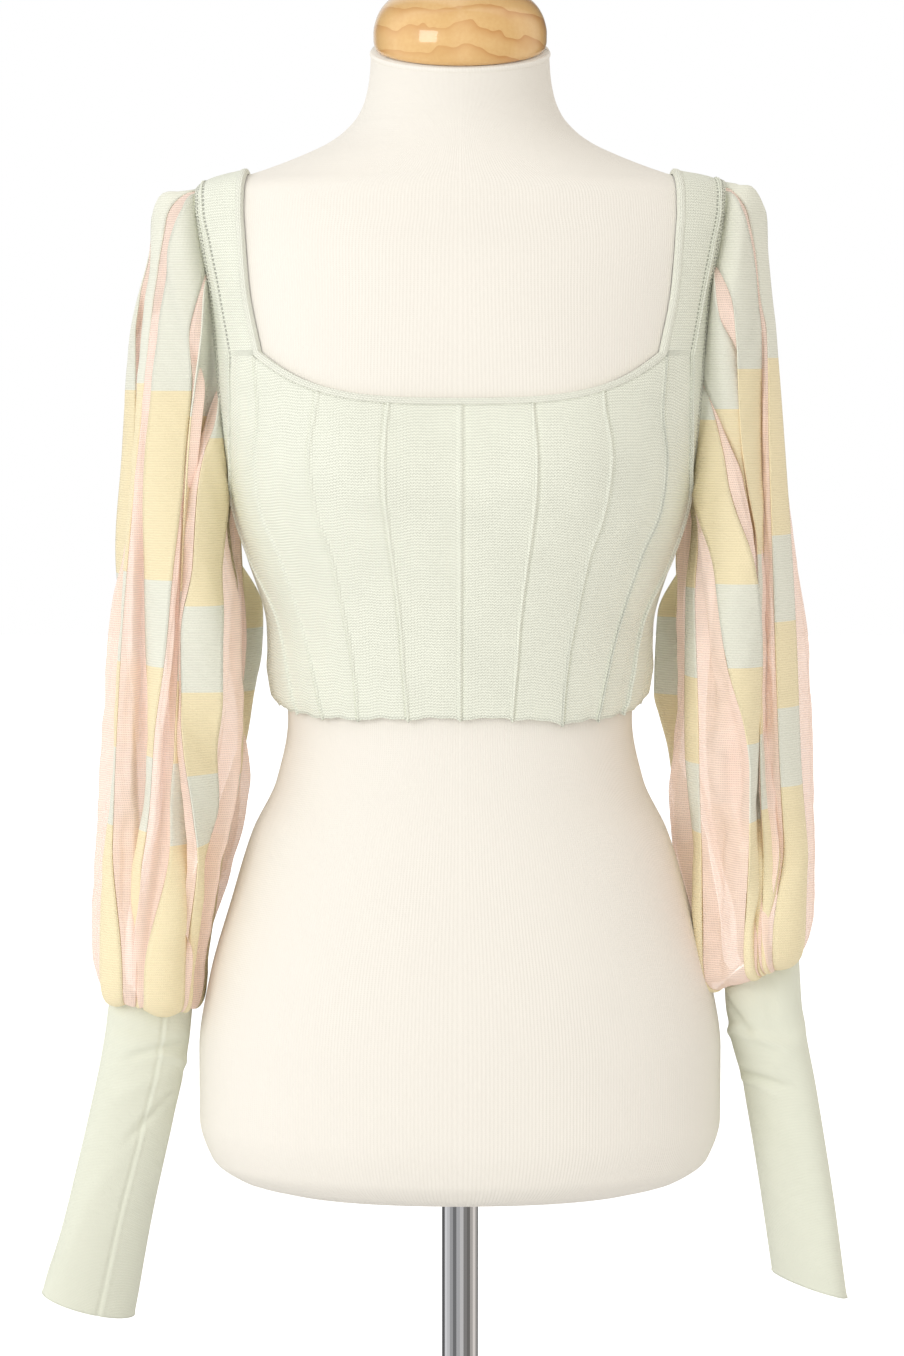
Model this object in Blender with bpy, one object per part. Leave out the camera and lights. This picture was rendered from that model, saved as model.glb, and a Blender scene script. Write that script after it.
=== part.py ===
"""Cropped knit sweater with pleated balloon sleeves, worn on a limbless counter-top dress form.

Metres, +Z up. The front faces -Y and the origin is the centre of the base's underside.
Tables are in millimetres and degrees: "across" is along X, "outward" is away from the middle
plane on either side, and "forward" is towards the front (-Y).
"""

import math

import bpy
from mathutils import Vector

MM = 0.001

# Dress form: height, half width, depth in front, depth behind, squareness of the section.
FORM_LEVELS = (
    (328, 128, 74, 88, 2.2),
    (334, 149, 87, 101, 2.2),
    (347, 166, 98, 113, 2.2),
    (374, 174, 104, 120, 2.2),
    (420, 174, 105, 121, 2.2),
    (467, 167, 103, 118, 2.2),
    (520, 152, 98, 108, 2.15),
    (565, 138, 92, 93, 2.1),
    (600, 121.5, 87, 79, 2.1),
    (640, 114, 85, 71, 2.1),
    (665, 115, 88, 71, 2.1),
    (690, 119.5, 93, 75, 2.1),
    (720, 127, 101, 81, 2.15),
    (750, 137, 109, 88, 2.2),
    (775, 144.5, 114, 93, 2.25),
    (800, 150, 117, 97, 2.3),
    (830, 156, 116, 100, 2.3),
    (860, 160, 112, 102, 2.25),
    (890, 162.5, 105, 102, 2.2),
    (920, 165.5, 96, 99, 2.15),
    (950, 170, 86, 94, 2.1),
    (962, 171.5, 80, 90, 2.05),
    (972, 172, 76, 88, 2.0),
    (981, 171, 72, 86, 2.0),
    (986.5, 168, 71, 84, 2.0),
    (990, 163, 70, 82, 2.0),
    (993, 155, 69, 81, 2.0),
    (997, 139, 68, 80, 2.0),
    (1003, 121, 66, 77, 2.0),
    (1010, 103, 65, 74, 2.0),
    (1018, 86, 63, 71, 2.0),
    (1026, 75, 61, 68, 2.0),
    (1036, 66.5, 60, 65, 2.0),
    (1048, 61.5, 58, 62, 2.0),
    (1062, 59, 57, 60, 2.0),
    (1078, 58, 56, 59, 2.0),
)
BUST_LIFT = 9 * MM
BUST_APART = 76 * MM
BUST_WIDTH = 46 * MM
BUST_HEIGHT = 812 * MM
BUST_TALL = 42 * MM
NECK_TILT = math.radians(16)
NECK_TILT_STARTS = 1030 * MM
FORM_SIDES = 40
FORM_RINGS = (
    328, 334, 347, 374, 405, 436, 467, 494, 520, 545, 570, 595, 620, 645, 670, 695, 720, 745,
    770, 795, 820, 845, 870, 895, 920, 945, 960, 972, 981, 986.5, 990, 993, 997, 1003, 1010,
    1018, 1026, 1036, 1048, 1062, 1078,
)

# Neck cap: a turned dome, as radius and height above the top of the neck.
CAP_PROFILE = (
    (0, 0), (53.5, 0), (55.6, 1.6), (56.6, 6), (56.6, 11), (55, 19), (50.8, 27), (43.5, 33.5),
    (31, 39), (15, 42), (0, 42.8),
)
CAP_SIDES = 40
CAP_GAP = 0.4 * MM
POLE_RADIUS = 12.2 * MM
POLE_SIDES = 32
BASE_RADIUS = 152 * MM
BASE_THICK = 11 * MM
BASE_EDGE = 4 * MM
BASE_SIDES = 64

# Cloth
SEAM_GAP = 0.3 * MM
FORM_CLEARANCE = 2.2 * MM
BODY_THICK = 2.0 * MM
BAND_THICK = 2.6 * MM
BAND_WIDTH = 4.5 * MM
SLEEVE_THICK = 1.1 * MM
CUFF_THICK = 1.6 * MM

# Bodice. Columns run in tenths of the way from the middle to the side; the corner of the
# neckline is on the seventh. Rows above the underarm are shares of the way to the neckline.
HEM = 648 * MM
UNDERARM = 785 * MM
HALF_COLUMNS = 10
CORNER_COLUMN = 7
SIDE_ROWS = 6
CHEST_ROWS = (0.12, 0.35, 0.65, 1.0)
STRAP_ROWS = 7
STRAP_SAMPLES = 200
BEND_LENGTH = 60 * MM
ARMHOLE_TURN = math.radians(17)
ARMHOLE_RISE = 75 * MM
NECK_CURVE = 3.3
NECK_LOW = {"front": 844 * MM, "back": 922 * MM}
NECK_CORNER = {"front": 879 * MM, "back": 948 * MM}
# Height, how far the hem stands off the form at the sides.
HEM_FLARE = ((648, 1), (656, 7), (672, 8), (690, 4), (715, 0), (1000, 0))
# Strap: height, neck edge, armhole edge (both across).
STRAP_EDGES = (
    (878, 131, 158),
    (920, 139, 161.5),
    (950, 141.5, 166),
    (972, 143, 169.5),
    (997, 142, 169.5),
)

# Sleeves, in the order round the arm that starts on the outside and goes by the front.
GORES = (
    "top", "front_high", "front_mid", "front_low", "underarm", "back_low", "back_mid", "back_high",
)
GORE_WIDTH = 27 * MM
GORE_SHARE = 0.72
GORE_BOW = 2.2 * MM
# Inserts start as points and are this wide when flat from INSERT_OPENS below the point.
INSERT_TIP = 3 * MM
INSERT_WIDTH = 36 * MM
INSERT_OPENS = 120 * MM
# Where an insert's two folds are across it, and which way each goes and how far: 1 is outwards.
INSERT_FOLDS = (0.33, 0.67)
FOLD_LIFTS = {
    "left": ((0.6, -1), (0.3, -0.1), (0, 0.1), (0.5, -1), (0.4, -0.8), (-0.8, 0.3), (0.6, -1), (0.7, -1)),
    "right": ((0.3, 0.2), (0.2, 0), (0, 0.1), (0.5, -1), (0.2, -0.5), (-0.6, 0.2), (0.6, -1), (1, -0.8)),
}
STEEPEST_FOLD = 0.38
TIGHT_FOLD = 8 * MM
# Rows of a sleeve as shares of the way from the armhole to where the cloth starts to turn in.
SLEEVE_ROWS = (0, 0.008, 0.024, 0.055, 0.11, 0.19, 0.31, 0.46, 0.62, 0.77, 0.89, 1)
# Below BULB_STARTS the cloth gathers to a ring that hangs round the cuff's top edge, and then
# turns in: how far in to the cuff's edge (0 to 1) and how far above it.
BULB_STARTS = 566
BULB_ABOVE_CUFF = 20 * MM
TURN_IN = ((0.12, 5), (0.55, -1.5), (1, 3.3))
# Ring at the cuff: outward, forward, half width, half depth, turn of the gores round it.
BULBS = {"left": (205, 10, 35, 45, 22), "right": (199, 18, 32.5, 42, 24)}
# Each insert starts in a point on the armhole: height in front, height behind, reach (how far
# below the point the cloth swings clear of the armhole).
TIPS = {
    "left": ((983, 980, 32), (931, 930, 60), (856, 858, 60), (793, 793, 60)),
    "right": ((986, 982, 32), (936, 934, 60), (861, 861, 60), (794, 794, 60)),
}
# Gore, height, outward, forward, facing (0 outward, 90 front, 180 body, 270 back).
SLEEVE_STATIONS = {
    "left": {
        "top": ((965, 203, 2, 2), (915, 210, 8, 0), (820, 216, 20, 5), (720, 222, 26, 2),
                (625, 225, 24, 2), (548, 228, 22, 12)),
        "front_high": ((930, 190, 36, 50), (900, 190, 44, 60), (820, 194, 52, 66), (720, 199, 52, 46),
                       (660, 202, 48, 22), (600, 204, 44, 10), (548, 210, 46, 30)),
        "front_mid": ((930, 164, 40, 95), (900, 171, 42, 92), (860, 180, 42, 88), (820, 184, 36, 86),
                      (720, 184, 32, 90), (640, 184, 34, 88), (600, 188, 38, 82), (548, 191, 46, 84)),
        "front_low": ((850, 155, 43, 126), (820, 159, 46, 126), (790, 164, 50, 122), (720, 165, 58, 95),
                      (660, 166, 57, 95), (600, 164, 52, 125), (548, 158, 44, 130)),
        "underarm": ((770, 157, 2, 175), (720, 149, 2, 180), (625, 146, 2, 180), (548, 159, 6, 180)),
        "back_low": ((840, 162, -35, 238), (790, 160, -42, 236), (720, 150, -46, 225),
                     (625, 150, -50, 230), (548, 162, -40, 232)),
        "back_mid": ((930, 166, -38, 268), (900, 172, -41, 268), (820, 191, -55, 272), (720, 188, -62, 272),
                     (625, 184, -64, 268), (548, 193, -54, 272)),
        "back_high": ((930, 194, -32, 300), (900, 204, -26, 325), (820, 214, -28, 335),
                      (720, 217, -34, 335), (625, 218, -38, 325), (548, 223, -34, 325)),
    },
    "right": {
        "top": ((965, 202, 4, 8), (915, 208, 14, 12), (820, 210, 26, 22), (740, 213, 31, 28),
                (625, 218, 34, 34), (555, 223, 29, 32)),
        "front_high": ((930, 189, 36, 55), (900, 188, 44, 60), (820, 187, 48, 63), (740, 189, 44, 64),
                       (680, 192, 42, 64), (610, 196, 40, 64), (555, 210, 38, 50)),
        "front_mid": ((930, 162, 40, 95), (900, 169, 42, 92), (860, 180, 43, 88), (820, 179, 36, 88),
                      (740, 178, 33, 80), (680, 180, 31, 78), (610, 189, 35, 74), (555, 197, 42, 73)),
        "front_low": ((850, 155, 43, 126), (820, 159, 46, 126), (790, 164, 50, 124), (740, 167, 56, 118),
                      (680, 170, 57, 118), (610, 171, 51, 132), (555, 164, 41, 138)),
        "underarm": ((770, 157, 2, 175), (720, 152, 12, 172), (625, 153, 20, 165), (555, 158, 8, 174)),
        "back_low": ((840, 162, -35, 238), (790, 160, -42, 236), (720, 146, -42, 225),
                     (625, 142, -48, 232), (555, 156, -39, 236)),
        "back_mid": ((930, 166, -38, 268), (900, 172, -41, 268), (820, 190, -55, 272), (720, 186, -61, 272),
                     (625, 181, -62, 268), (555, 186, -54, 272)),
        "back_high": ((930, 193, -32, 300), (900, 203, -26, 325), (820, 212, -26, 335),
                      (720, 215, -32, 335), (625, 216, -36, 325), (555, 216, -34, 322)),
    },
}
# Cuff: height, outward, forward, half width, half depth, turn of the section about the vertical.
CUFF_LEVELS = {
    "left": (
        (459, 205, 11, 27, 19, 20),
        (425, 207, 11, 28, 19, 22),
        (375, 215, 11, 29, 18, 25),
        (310, 228.5, 12, 30.5, 16.5, 29),
        (244, 245, 12, 32, 16, 30),
    ),
    "right": (
        (485, 201, 10, 25, 20, 35),
        (450, 201, 10, 26, 19, 42),
        (395, 210, 10, 28.5, 17.5, 50),
        (330, 220, 11, 30.5, 16.5, 54),
        (264, 231, 12, 32, 16, 55),
    ),
}
# How much lower the inner side of each cuff's top edge is than the outer side.
CUFF_TOP_SLOPE = {"left": 8 * MM, "right": 14 * MM}
CUFF_SIDES = 16

COLOURS = {
    "mint": (0.70, 0.77, 0.64, 1.0),
    "yellow": (0.96, 0.82, 0.54, 1.0),
    "pink": (0.93, 0.72, 0.66, 1.0),
    "cream": (0.95, 0.90, 0.82, 1.0),
    "pine": (0.80, 0.56, 0.27, 1.0),
    "chrome": (0.80, 0.80, 0.82, 1.0),
    "steel": (0.72, 0.72, 0.74, 1.0),
}
FINISHES = {
    "mint": (0.9, 0.0),
    "yellow": (0.9, 0.0),
    "pink": (0.85, 0.0),
    "cream": (0.9, 0.0),
    "pine": (0.25, 0.0),
    "chrome": (0.08, 1.0),
    "steel": (0.3, 1.0),
}
SIDES = {"left": -1, "right": 1}


# ---------------------------------------------------------------- curves and small helpers


def level_curve(rows):
    """A smooth function of height through rows of (height, value, ...), flat beyond both ends."""
    rows = sorted(rows)
    heights = [row[0] for row in rows]
    columns = list(zip(*[row[1:] for row in rows]))
    slopes = [monotone_slopes(heights, column) for column in columns]

    def values(height):
        height = min(max(height, heights[0]), heights[-1])
        low = max(i for i in range(len(heights) - 1) if heights[i] <= height or i == 0)
        span = heights[low + 1] - heights[low]
        t = (height - heights[low]) / span
        ease = t * t * (3 - 2 * t)
        leave = t * (1 - t) ** 2 * span
        arrive = -t * t * (1 - t) * span
        return [
            column[low] * (1 - ease) + column[low + 1] * ease + slope[low] * leave + slope[low + 1] * arrive
            for column, slope in zip(columns, slopes)
        ]

    return values


def monotone_slopes(heights, column):
    """Slopes that keep a cubic through the values from overshooting them."""
    steps = [
        (column[i + 1] - column[i]) / (heights[i + 1] - heights[i]) for i in range(len(heights) - 1)
    ]
    slopes = [steps[0]]
    for before, after in zip(steps, steps[1:]):
        slopes.append(2 * before * after / (before + after) if before * after > 0 else 0.0)
    return slopes + [steps[-1]]


def mix(low, high, share):
    return low * (1 - share) + high * share


def signed_power(value, power):
    return math.copysign(abs(value) ** power, value)


FORM = level_curve(FORM_LEVELS)
STRAP = level_curve(STRAP_EDGES)
FLARE = level_curve(HEM_FLARE)


# ---------------------------------------------------------------- surface of the dress form


def form_point(height, angle):
    """A point of the form's skin: the angle is 0 in front and turns towards +X."""
    half_width, front, back, squareness = FORM(height / MM)
    power = 2 / squareness
    across = half_width * MM * signed_power(math.sin(angle), power)
    depth = front if math.cos(angle) >= 0 else back
    forward = depth * MM * signed_power(math.cos(angle), power)
    forward += bust(across, height) * max(0.0, math.cos(angle))
    tilt = max(0.0, (height - NECK_TILT_STARTS) / (FORM_LEVELS[-1][0] * MM - NECK_TILT_STARTS))
    return Vector((across, -forward, height - forward * math.tan(NECK_TILT) * tilt))


def bust(across, height):
    """The form's plain rounded bust: two low swells that run into each other."""
    rise = math.exp(-(((height - BUST_HEIGHT) / BUST_TALL) ** 2))
    swells = [math.exp(-(((across - side * BUST_APART) / BUST_WIDTH) ** 2)) for side in (-1, 1)]
    return BUST_LIFT * rise * sum(swells)


def form_normal(height, angle):
    step = 1 * MM
    turn = math.radians(1)
    round_it = form_point(height, angle + turn) - form_point(height, angle - turn)
    up_it = form_point(height + step, angle) - form_point(height - step, angle)
    return round_it.cross(up_it).normalized()


def on_form(height, angle, out):
    return form_point(height, angle) + form_normal(height, angle) * out


def angle_at(height, across):
    """The angle at which the form is this far across, 90 degrees where it is no wider."""
    half_width, _, _, squareness = FORM(height / MM)
    share = min(1.0, abs(across) / (half_width * MM))
    return math.copysign(math.asin(share ** (squareness / 2)), across)


# ---------------------------------------------------------------- making meshes


def material(name):
    made = bpy.data.materials.get(name)
    if made is None:
        made = bpy.data.materials.new(name)
        made.use_nodes = True
        shader = made.node_tree.nodes["Principled BSDF"]
        roughness, metallic = FINISHES[name]
        shader.inputs["Base Color"].default_value = COLOURS[name]
        shader.inputs["Roughness"].default_value = roughness
        shader.inputs["Metallic"].default_value = metallic
        made.diffuse_color = COLOURS[name]
    return made


def add_object(name, points, faces, finish, smooth_angle=40):
    mesh = bpy.data.meshes.new(name)
    mesh.from_pydata([tuple(point) for point in points], [], faces)
    mesh.validate()
    mesh.shade_smooth()
    mesh.set_sharp_from_angle(angle=math.radians(smooth_angle))
    obj = bpy.data.objects.new(name, mesh)
    mesh.materials.append(material(finish))
    PARTS.objects.link(obj)
    return obj


def add_wall(name, outer, inner, finish, closed=False, split=False):
    """A wall of cloth between two grids of rows; closed joins each row's ends round a tube.

    split halves each quad along its shorter diagonal, the same one on both sides of the wall, so
    that the two sides of twisted cloth stay a wall's thickness apart.
    """
    rows, columns = len(outer), len(outer[0])
    points = [point for grid in (outer, inner) for row in grid for point in row]
    inside = rows * columns

    def at(row, column, layer):
        return layer * inside + row * columns + column % columns

    faces = []
    last = columns if closed else columns - 1
    for row in range(rows - 1):
        for column in range(last):
            quad = [(row, column), (row, column + 1), (row + 1, column + 1), (row + 1, column)]
            for part in halves(quad, outer, inner) if split else (quad,):
                faces.append([at(*corner, 0) for corner in part])
                faces.append([at(*corner, 1) for corner in reversed(part)])
    for column in range(last):
        for row, ends in ((0, (column + 1, column)), (rows - 1, (column, column + 1))):
            first, second = ends
            faces.append([at(row, first, 0), at(row, second, 0), at(row, second, 1), at(row, first, 1)])
    if not closed:
        for row in range(rows - 1):
            for column, ends in ((0, (row, row + 1)), (columns - 1, (row + 1, row))):
                first, second = ends
                faces.append(
                    [at(first, column, 0), at(second, column, 0), at(second, column, 1), at(first, column, 1)]
                )
    return add_object(name, points, faces, finish)


def halves(quad, outer, inner):
    """The quad's two triangles, cut along the diagonal that is shorter halfway through the wall."""
    spots = [outer[row][column] + inner[row][column] for row, column in quad]
    if (spots[0] - spots[2]).length <= (spots[1] - spots[3]).length:
        return quad[:3], [quad[0], quad[2], quad[3]]
    return [quad[0], quad[1], quad[3]], quad[1:]


def inset(grid, sides, gap):
    """The grid with the named sides moved in along the cloth by the gap."""
    grid = [list(row) for row in grid]
    for row in grid:
        if "first" in sides:
            row[0] = row[0] + (row[1] - row[0]).normalized() * gap
        if "last" in sides:
            row[-1] = row[-1] + (row[-2] - row[-1]).normalized() * gap
    for name, edge, beside in (("bottom", 0, 1), ("top", -1, -2)):
        if name in sides:
            moved = [
                point + (other - point).normalized() * gap for point, other in zip(grid[edge], grid[beside])
            ]
            grid[edge] = moved
    return grid


# ---------------------------------------------------------------- dress form


def make_torso():
    points, faces = [], []
    for height in FORM_RINGS:
        for side in range(FORM_SIDES):
            points.append(form_point(height * MM, 2 * math.pi * side / FORM_SIDES))
    for ring in range(len(FORM_RINGS) - 1):
        for side in range(FORM_SIDES):
            here, beside = ring * FORM_SIDES + side, ring * FORM_SIDES + (side + 1) % FORM_SIDES
            faces.append([here, beside, beside + FORM_SIDES, here + FORM_SIDES])
    top = (len(FORM_RINGS) - 1) * FORM_SIDES
    faces.append(list(reversed(range(FORM_SIDES))))
    faces.append(list(range(top, top + FORM_SIDES)))
    add_object("form_torso", points, faces, "cream", smooth_angle=50)


def turned(name, profile, sides, finish, centre, lean=0.0):
    """A turned solid: a profile of radius and height in metres, from its foot to its top."""
    points, faces = [], []
    for radius, height in profile:
        ring = [
            Vector((radius * math.cos(turn), radius * math.sin(turn), height))
            for turn in (2 * math.pi * side / sides for side in range(sides))
        ]
        points += ring if radius else ring[:1]
    start = 0
    for (radius, _), (above, _) in zip(profile, profile[1:]):
        here = start
        start += sides if radius else 1
        for side in range(sides):
            beside = (side + 1) % sides
            low = [here + side, here + beside] if radius else [here]
            high = [start + beside, start + side] if above else [start]
            faces.append(low + high)
    obj = add_object(name, points, faces, finish)
    obj.location = centre
    obj.rotation_euler = (lean, 0, 0)
    return obj


def make_stand():
    base = [(0, 0), (BASE_RADIUS - BASE_EDGE * 0.5, 0), (BASE_RADIUS, BASE_EDGE * 0.5)]
    base += [
        (
            BASE_RADIUS - BASE_EDGE + BASE_EDGE * math.cos(turn),
            BASE_THICK - BASE_EDGE + BASE_EDGE * math.sin(turn),
        )
        for turn in (math.pi / 2 * step / 4 for step in range(5))
    ]
    base.append((0, BASE_THICK))
    turned("base_plate", base, BASE_SIDES, "steel", (0, 0, 0))
    foot = BASE_THICK + SEAM_GAP
    length = FORM_LEVELS[0][0] * MM - SEAM_GAP - foot
    pole = [(0, 0), (POLE_RADIUS, 0), (POLE_RADIUS, length), (0, length)]
    turned("pole", pole, POLE_SIDES, "chrome", (0, 0, foot))


def make_neck_cap():
    level = FORM_LEVELS[-1][0] * MM
    front, behind = form_point(level, 0), form_point(level, math.pi)
    middle = (front + behind) / 2
    up = Vector((0, -math.sin(NECK_TILT), math.cos(NECK_TILT)))
    profile = [(radius * MM, height * MM) for radius, height in CAP_PROFILE]
    turned("neck_cap", profile, CAP_SIDES, "pine", middle + up * CAP_GAP, lean=NECK_TILT)


# ---------------------------------------------------------------- bodice


def side_angle(height):
    """Where the panel ends at its side: the side seam below the underarm, the armhole above."""
    rise = min(max((height - UNDERARM) / ARMHOLE_RISE, 0.0), 1.0)
    return math.pi / 2 - ARMHOLE_TURN * math.sqrt(1 - (1 - rise) ** 2)


def neckline_height(panel, column):
    corner = side_angle(NECK_CORNER[panel]) * CORNER_COLUMN / HALF_COLUMNS
    here = side_angle(NECK_CORNER[panel]) * abs(column) / HALF_COLUMNS
    share = min(1.0, math.sin(here) / math.sin(corner))
    return mix(NECK_LOW[panel], NECK_CORNER[panel], share**NECK_CURVE)


def strap_across(height, share):
    neck_edge, arm_edge = STRAP(height / MM)
    return mix(neck_edge, arm_edge, share) * MM


def ridge_height(share):
    """The height at which a line along the strap reaches the shoulder's ridge."""
    low, high = 960 * MM, 1020 * MM
    for _ in range(40):
        middle = (low + high) / 2
        if FORM(middle / MM)[0] * MM > strap_across(middle, share):
            low = middle
        else:
            high = middle
    return low


def strap_share(panel, column):
    """How far a column is across the strap, from its neck edge to the armhole."""
    corner = NECK_CORNER[panel]
    across = [
        form_point(corner, side_angle(corner) * place / HALF_COLUMNS).x
        for place in (CORNER_COLUMN, abs(column), HALF_COLUMNS)
    ]
    return (across[1] - across[0]) / (across[2] - across[0])


def strap_places(panel, column, rows):
    """(height, angle) of the rows of a strap column up to the shoulder's ridge, closer on bends."""
    side = math.copysign(1, column)
    share = strap_share(panel, column)
    corner = NECK_CORNER[panel]
    top = ridge_height(share)
    start = form_point(corner, side_angle(corner) * abs(column) / HALF_COLUMNS).x
    slip = start - strap_across(corner, share)

    def place(way):
        left = (1 - way) ** 2
        height = top - (top - corner) * left
        across = strap_across(height, share) + slip * left
        angle = math.pi / 2 if way >= 1 else angle_at(height, across)
        return height, side * angle

    samples = [place(step / STRAP_SAMPLES) for step in range(STRAP_SAMPLES + 1)]
    points = [form_point(*sample) for sample in samples]
    normals = [form_normal(*sample) for sample in samples]
    lengths = [0.0]
    for step in range(STRAP_SAMPLES):
        bend = normals[step].angle(normals[step + 1]) * BEND_LENGTH
        lengths.append(lengths[-1] + (points[step + 1] - points[step]).length + bend)
    places = []
    for row in range(1, rows + 1):
        wanted = lengths[-1] * row / rows
        step = min(range(STRAP_SAMPLES + 1), key=lambda i: abs(lengths[i] - wanted))
        places.append(samples[step])
    return places


def panel_places(panel, column):
    """(height, angle) up one column of a panel, from the hem to the neckline or the shoulder."""
    top = neckline_height(panel, column)
    if abs(column) >= CORNER_COLUMN:
        top = NECK_CORNER[panel]
    heights = [mix(HEM, UNDERARM, row / SIDE_ROWS) for row in range(SIDE_ROWS + 1)]
    heights += [mix(UNDERARM, top, share) for share in CHEST_ROWS]
    places = [(height, side_angle(height) * column / HALF_COLUMNS) for height in heights]
    if abs(column) >= CORNER_COLUMN:
        places += strap_places(panel, column, STRAP_ROWS)
    return places


def panel_column(panel, column, out):
    return [cloth_point(panel, height, angle, out) for height, angle in panel_places(panel, column)]


def facing(panel, angle):
    return angle if panel == "front" else math.pi - angle


def cloth_point(panel, height, angle, out):
    """A point on the cloth of the bodice, with the hem's stand-off at the sides."""
    off = FLARE(height / MM)[0] * MM * math.sin(angle) ** 4
    return on_form(height, facing(panel, angle), out + off)


def make_panel(panel):
    """Front or back: a body block to the neckline and two straps, all in one wall."""
    columns = range(-HALF_COLUMNS, HALF_COLUMNS + 1)
    layers = (FORM_CLEARANCE + BODY_THICK, FORM_CLEARANCE)
    points, faces, index = [], [], {}
    for layer, out in enumerate(layers):
        for column in columns:
            stack = panel_column(panel, column, out)
            if abs(column) == HALF_COLUMNS:
                beside = panel_column(panel, column - math.copysign(1, column), out)
                stack = [
                    point + (other - point).normalized() * SEAM_GAP / 2 for point, other in zip(stack, beside)
                ]
            if abs(column) >= CORNER_COLUMN:
                stack[-1] = stack[-1] + (stack[-2] - stack[-1]).normalized() * SEAM_GAP / 2
            for row, point in enumerate(stack):
                index[layer, column, row] = len(points)
                points.append(point)
    quads = []
    for column in columns[:-1]:
        inner_end = min(abs(column), abs(column + 1))
        rows = SIDE_ROWS + len(CHEST_ROWS) + (STRAP_ROWS if inner_end >= CORNER_COLUMN else 0)
        quads += [(column, row) for row in range(rows)]
    sides_used = {}
    for column, row in quads:
        corners = [(column, row), (column + 1, row), (column + 1, row + 1), (column, row + 1)]
        faces.append([index[0, *corner] for corner in corners])
        faces.append([index[1, *corner] for corner in reversed(corners)])
        for first, second in zip(corners, corners[1:] + corners[:1]):
            sides_used[first, second] = (first, second)
    for first, second in sides_used:
        if (second, first) not in sides_used:
            faces.append([index[0, *second], index[0, *first], index[1, *first], index[1, *second]])
    if panel == "back":
        faces = [list(reversed(face)) for face in faces]
    add_object(f"{panel}_body", points, faces, "mint")


def neckline_path():
    """The neckline's edge as (piece, panel, height, angle), once round from the left front corner."""
    corner = SIDE_ROWS + len(CHEST_ROWS)
    path = []
    for sign, side, panel, other in ((1, "right", "front", "back"), (-1, "left", "back", "front")):
        low_edge = [
            panel_places(panel, sign * column)[corner] for column in range(-CORNER_COLUMN, CORNER_COLUMN)
        ]
        up = panel_places(panel, sign * CORNER_COLUMN)[corner:-1]
        down = panel_places(other, sign * CORNER_COLUMN)[:corner:-1]
        path += [(f"neckband_{panel}", panel, *place) for place in low_edge]
        path += [(f"neck_edge_{side}", panel, *place) for place in up]
        path += [(f"neck_edge_{side}", other, *place) for place in down]
    return path


def make_neckbands():
    """Four narrow ribbed bands, mitred where they meet at the corners of the neckline."""
    path = neckline_path()
    count = len(path)
    layers = []
    for out in (FORM_CLEARANCE + BAND_THICK, FORM_CLEARANCE):
        points = [cloth_point(panel, height, angle, out) for _, panel, height, angle in path]
        rows = []
        for step, (_, panel, height, angle) in enumerate(path):
            normal = form_normal(height, facing(panel, angle))
            sides = [
                normal.cross(after - before).normalized()
                for before, after in (
                    (points[step - 1], points[step]),
                    (points[step], points[(step + 1) % count]),
                )
            ]
            beside = (sides[0] + sides[1]) / (1 + sides[0].dot(sides[1]))
            rows.append([points[step] + beside * width for width in (SEAM_GAP, SEAM_GAP + BAND_WIDTH)])
        layers.append(rows)
    for name in dict.fromkeys(place[0] for place in path):
        steps = [step for step, place in enumerate(path) if place[0] == name]
        grids = [[rows[step % count] for step in steps + [steps[-1] + 1]] for rows in layers]
        grids = [inset(grid, ("bottom", "top"), SEAM_GAP / 2) for grid in grids]
        turn_out(add_wall(name, *grids, "mint"))


def turn_out(obj):
    """Turns the faces of a closed mesh outwards, whichever way its grid ran."""
    mesh = obj.data
    mesh.calc_loop_triangles()
    volume = 0.0
    for triangle in mesh.loop_triangles:
        first, second, third = (mesh.vertices[i].co for i in triangle.vertices)
        volume += first.dot(second.cross(third))
    if volume < 0:
        mesh.flip_normals()


# ---------------------------------------------------------------- sleeves


def armhole_rim(side):
    """The armhole's edge once round from the shoulder by way of the front, clear of the panels."""
    rim = []
    for panel in ("front", "back"):
        column = HALF_COLUMNS * SIDES[side]
        places = panel_places(panel, column)[SIDE_ROWS:]
        outer = panel_column(panel, column, FORM_CLEARANCE + BODY_THICK)[SIDE_ROWS:]
        beside = panel_column(panel, column - SIDES[side], FORM_CLEARANCE + BODY_THICK)[SIDE_ROWS:]
        edge = []
        for (height, angle), point, other in zip(places, outer, beside):
            normal = form_normal(height, facing(panel, angle))
            away = (point - other).normalized()
            edge.append(point + (normal + away) * (SEAM_GAP + SLEEVE_THICK / 2))
        rim.append(edge)
    front, back = rim
    return front[::-1] + back[1:-1]


def along(points, distance, closed=True):
    """The point this far along a path of straight lines."""
    ends = points[1:] + (points[:1] if closed else [])
    lengths = [(after - before).length for before, after in zip(points, ends)]
    distance %= sum(lengths)
    for before, after, length in zip(points, ends, lengths):
        if distance <= length:
            return before.lerp(after, distance / length)
        distance -= length
    return points[0].copy()


def rim_distance(rim, height, behind):
    """How far round the rim it first comes down to a height in front, or comes back up behind."""
    ends = rim[1:] + rim[:1]
    gone, found = 0.0, []
    for before, after in zip(rim, ends):
        low, high = sorted((before.z, after.z))
        if low <= height < high:
            found.append(gone + (after - before).length * (height - before.z) / (after.z - before.z))
        gone += (after - before).length
    return found[-1] if behind else found[0]


def tip_distances(side, rim):
    """Where the inserts start round the rim, from the one in front of the top gore."""
    front = [rim_distance(rim, tip[0] * MM, False) for tip in TIPS[side]]
    back = [rim_distance(rim, tip[1] * MM, True) for tip in TIPS[side]]
    return front + back[::-1]


def seam_reach(side, insert):
    reaches = [tip[2] * MM for tip in TIPS[side]]
    return (reaches + reaches[::-1])[insert]


def from_axes(side, outward, forward, height):
    return Vector((SIDES[side] * outward, -forward, height))


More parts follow.
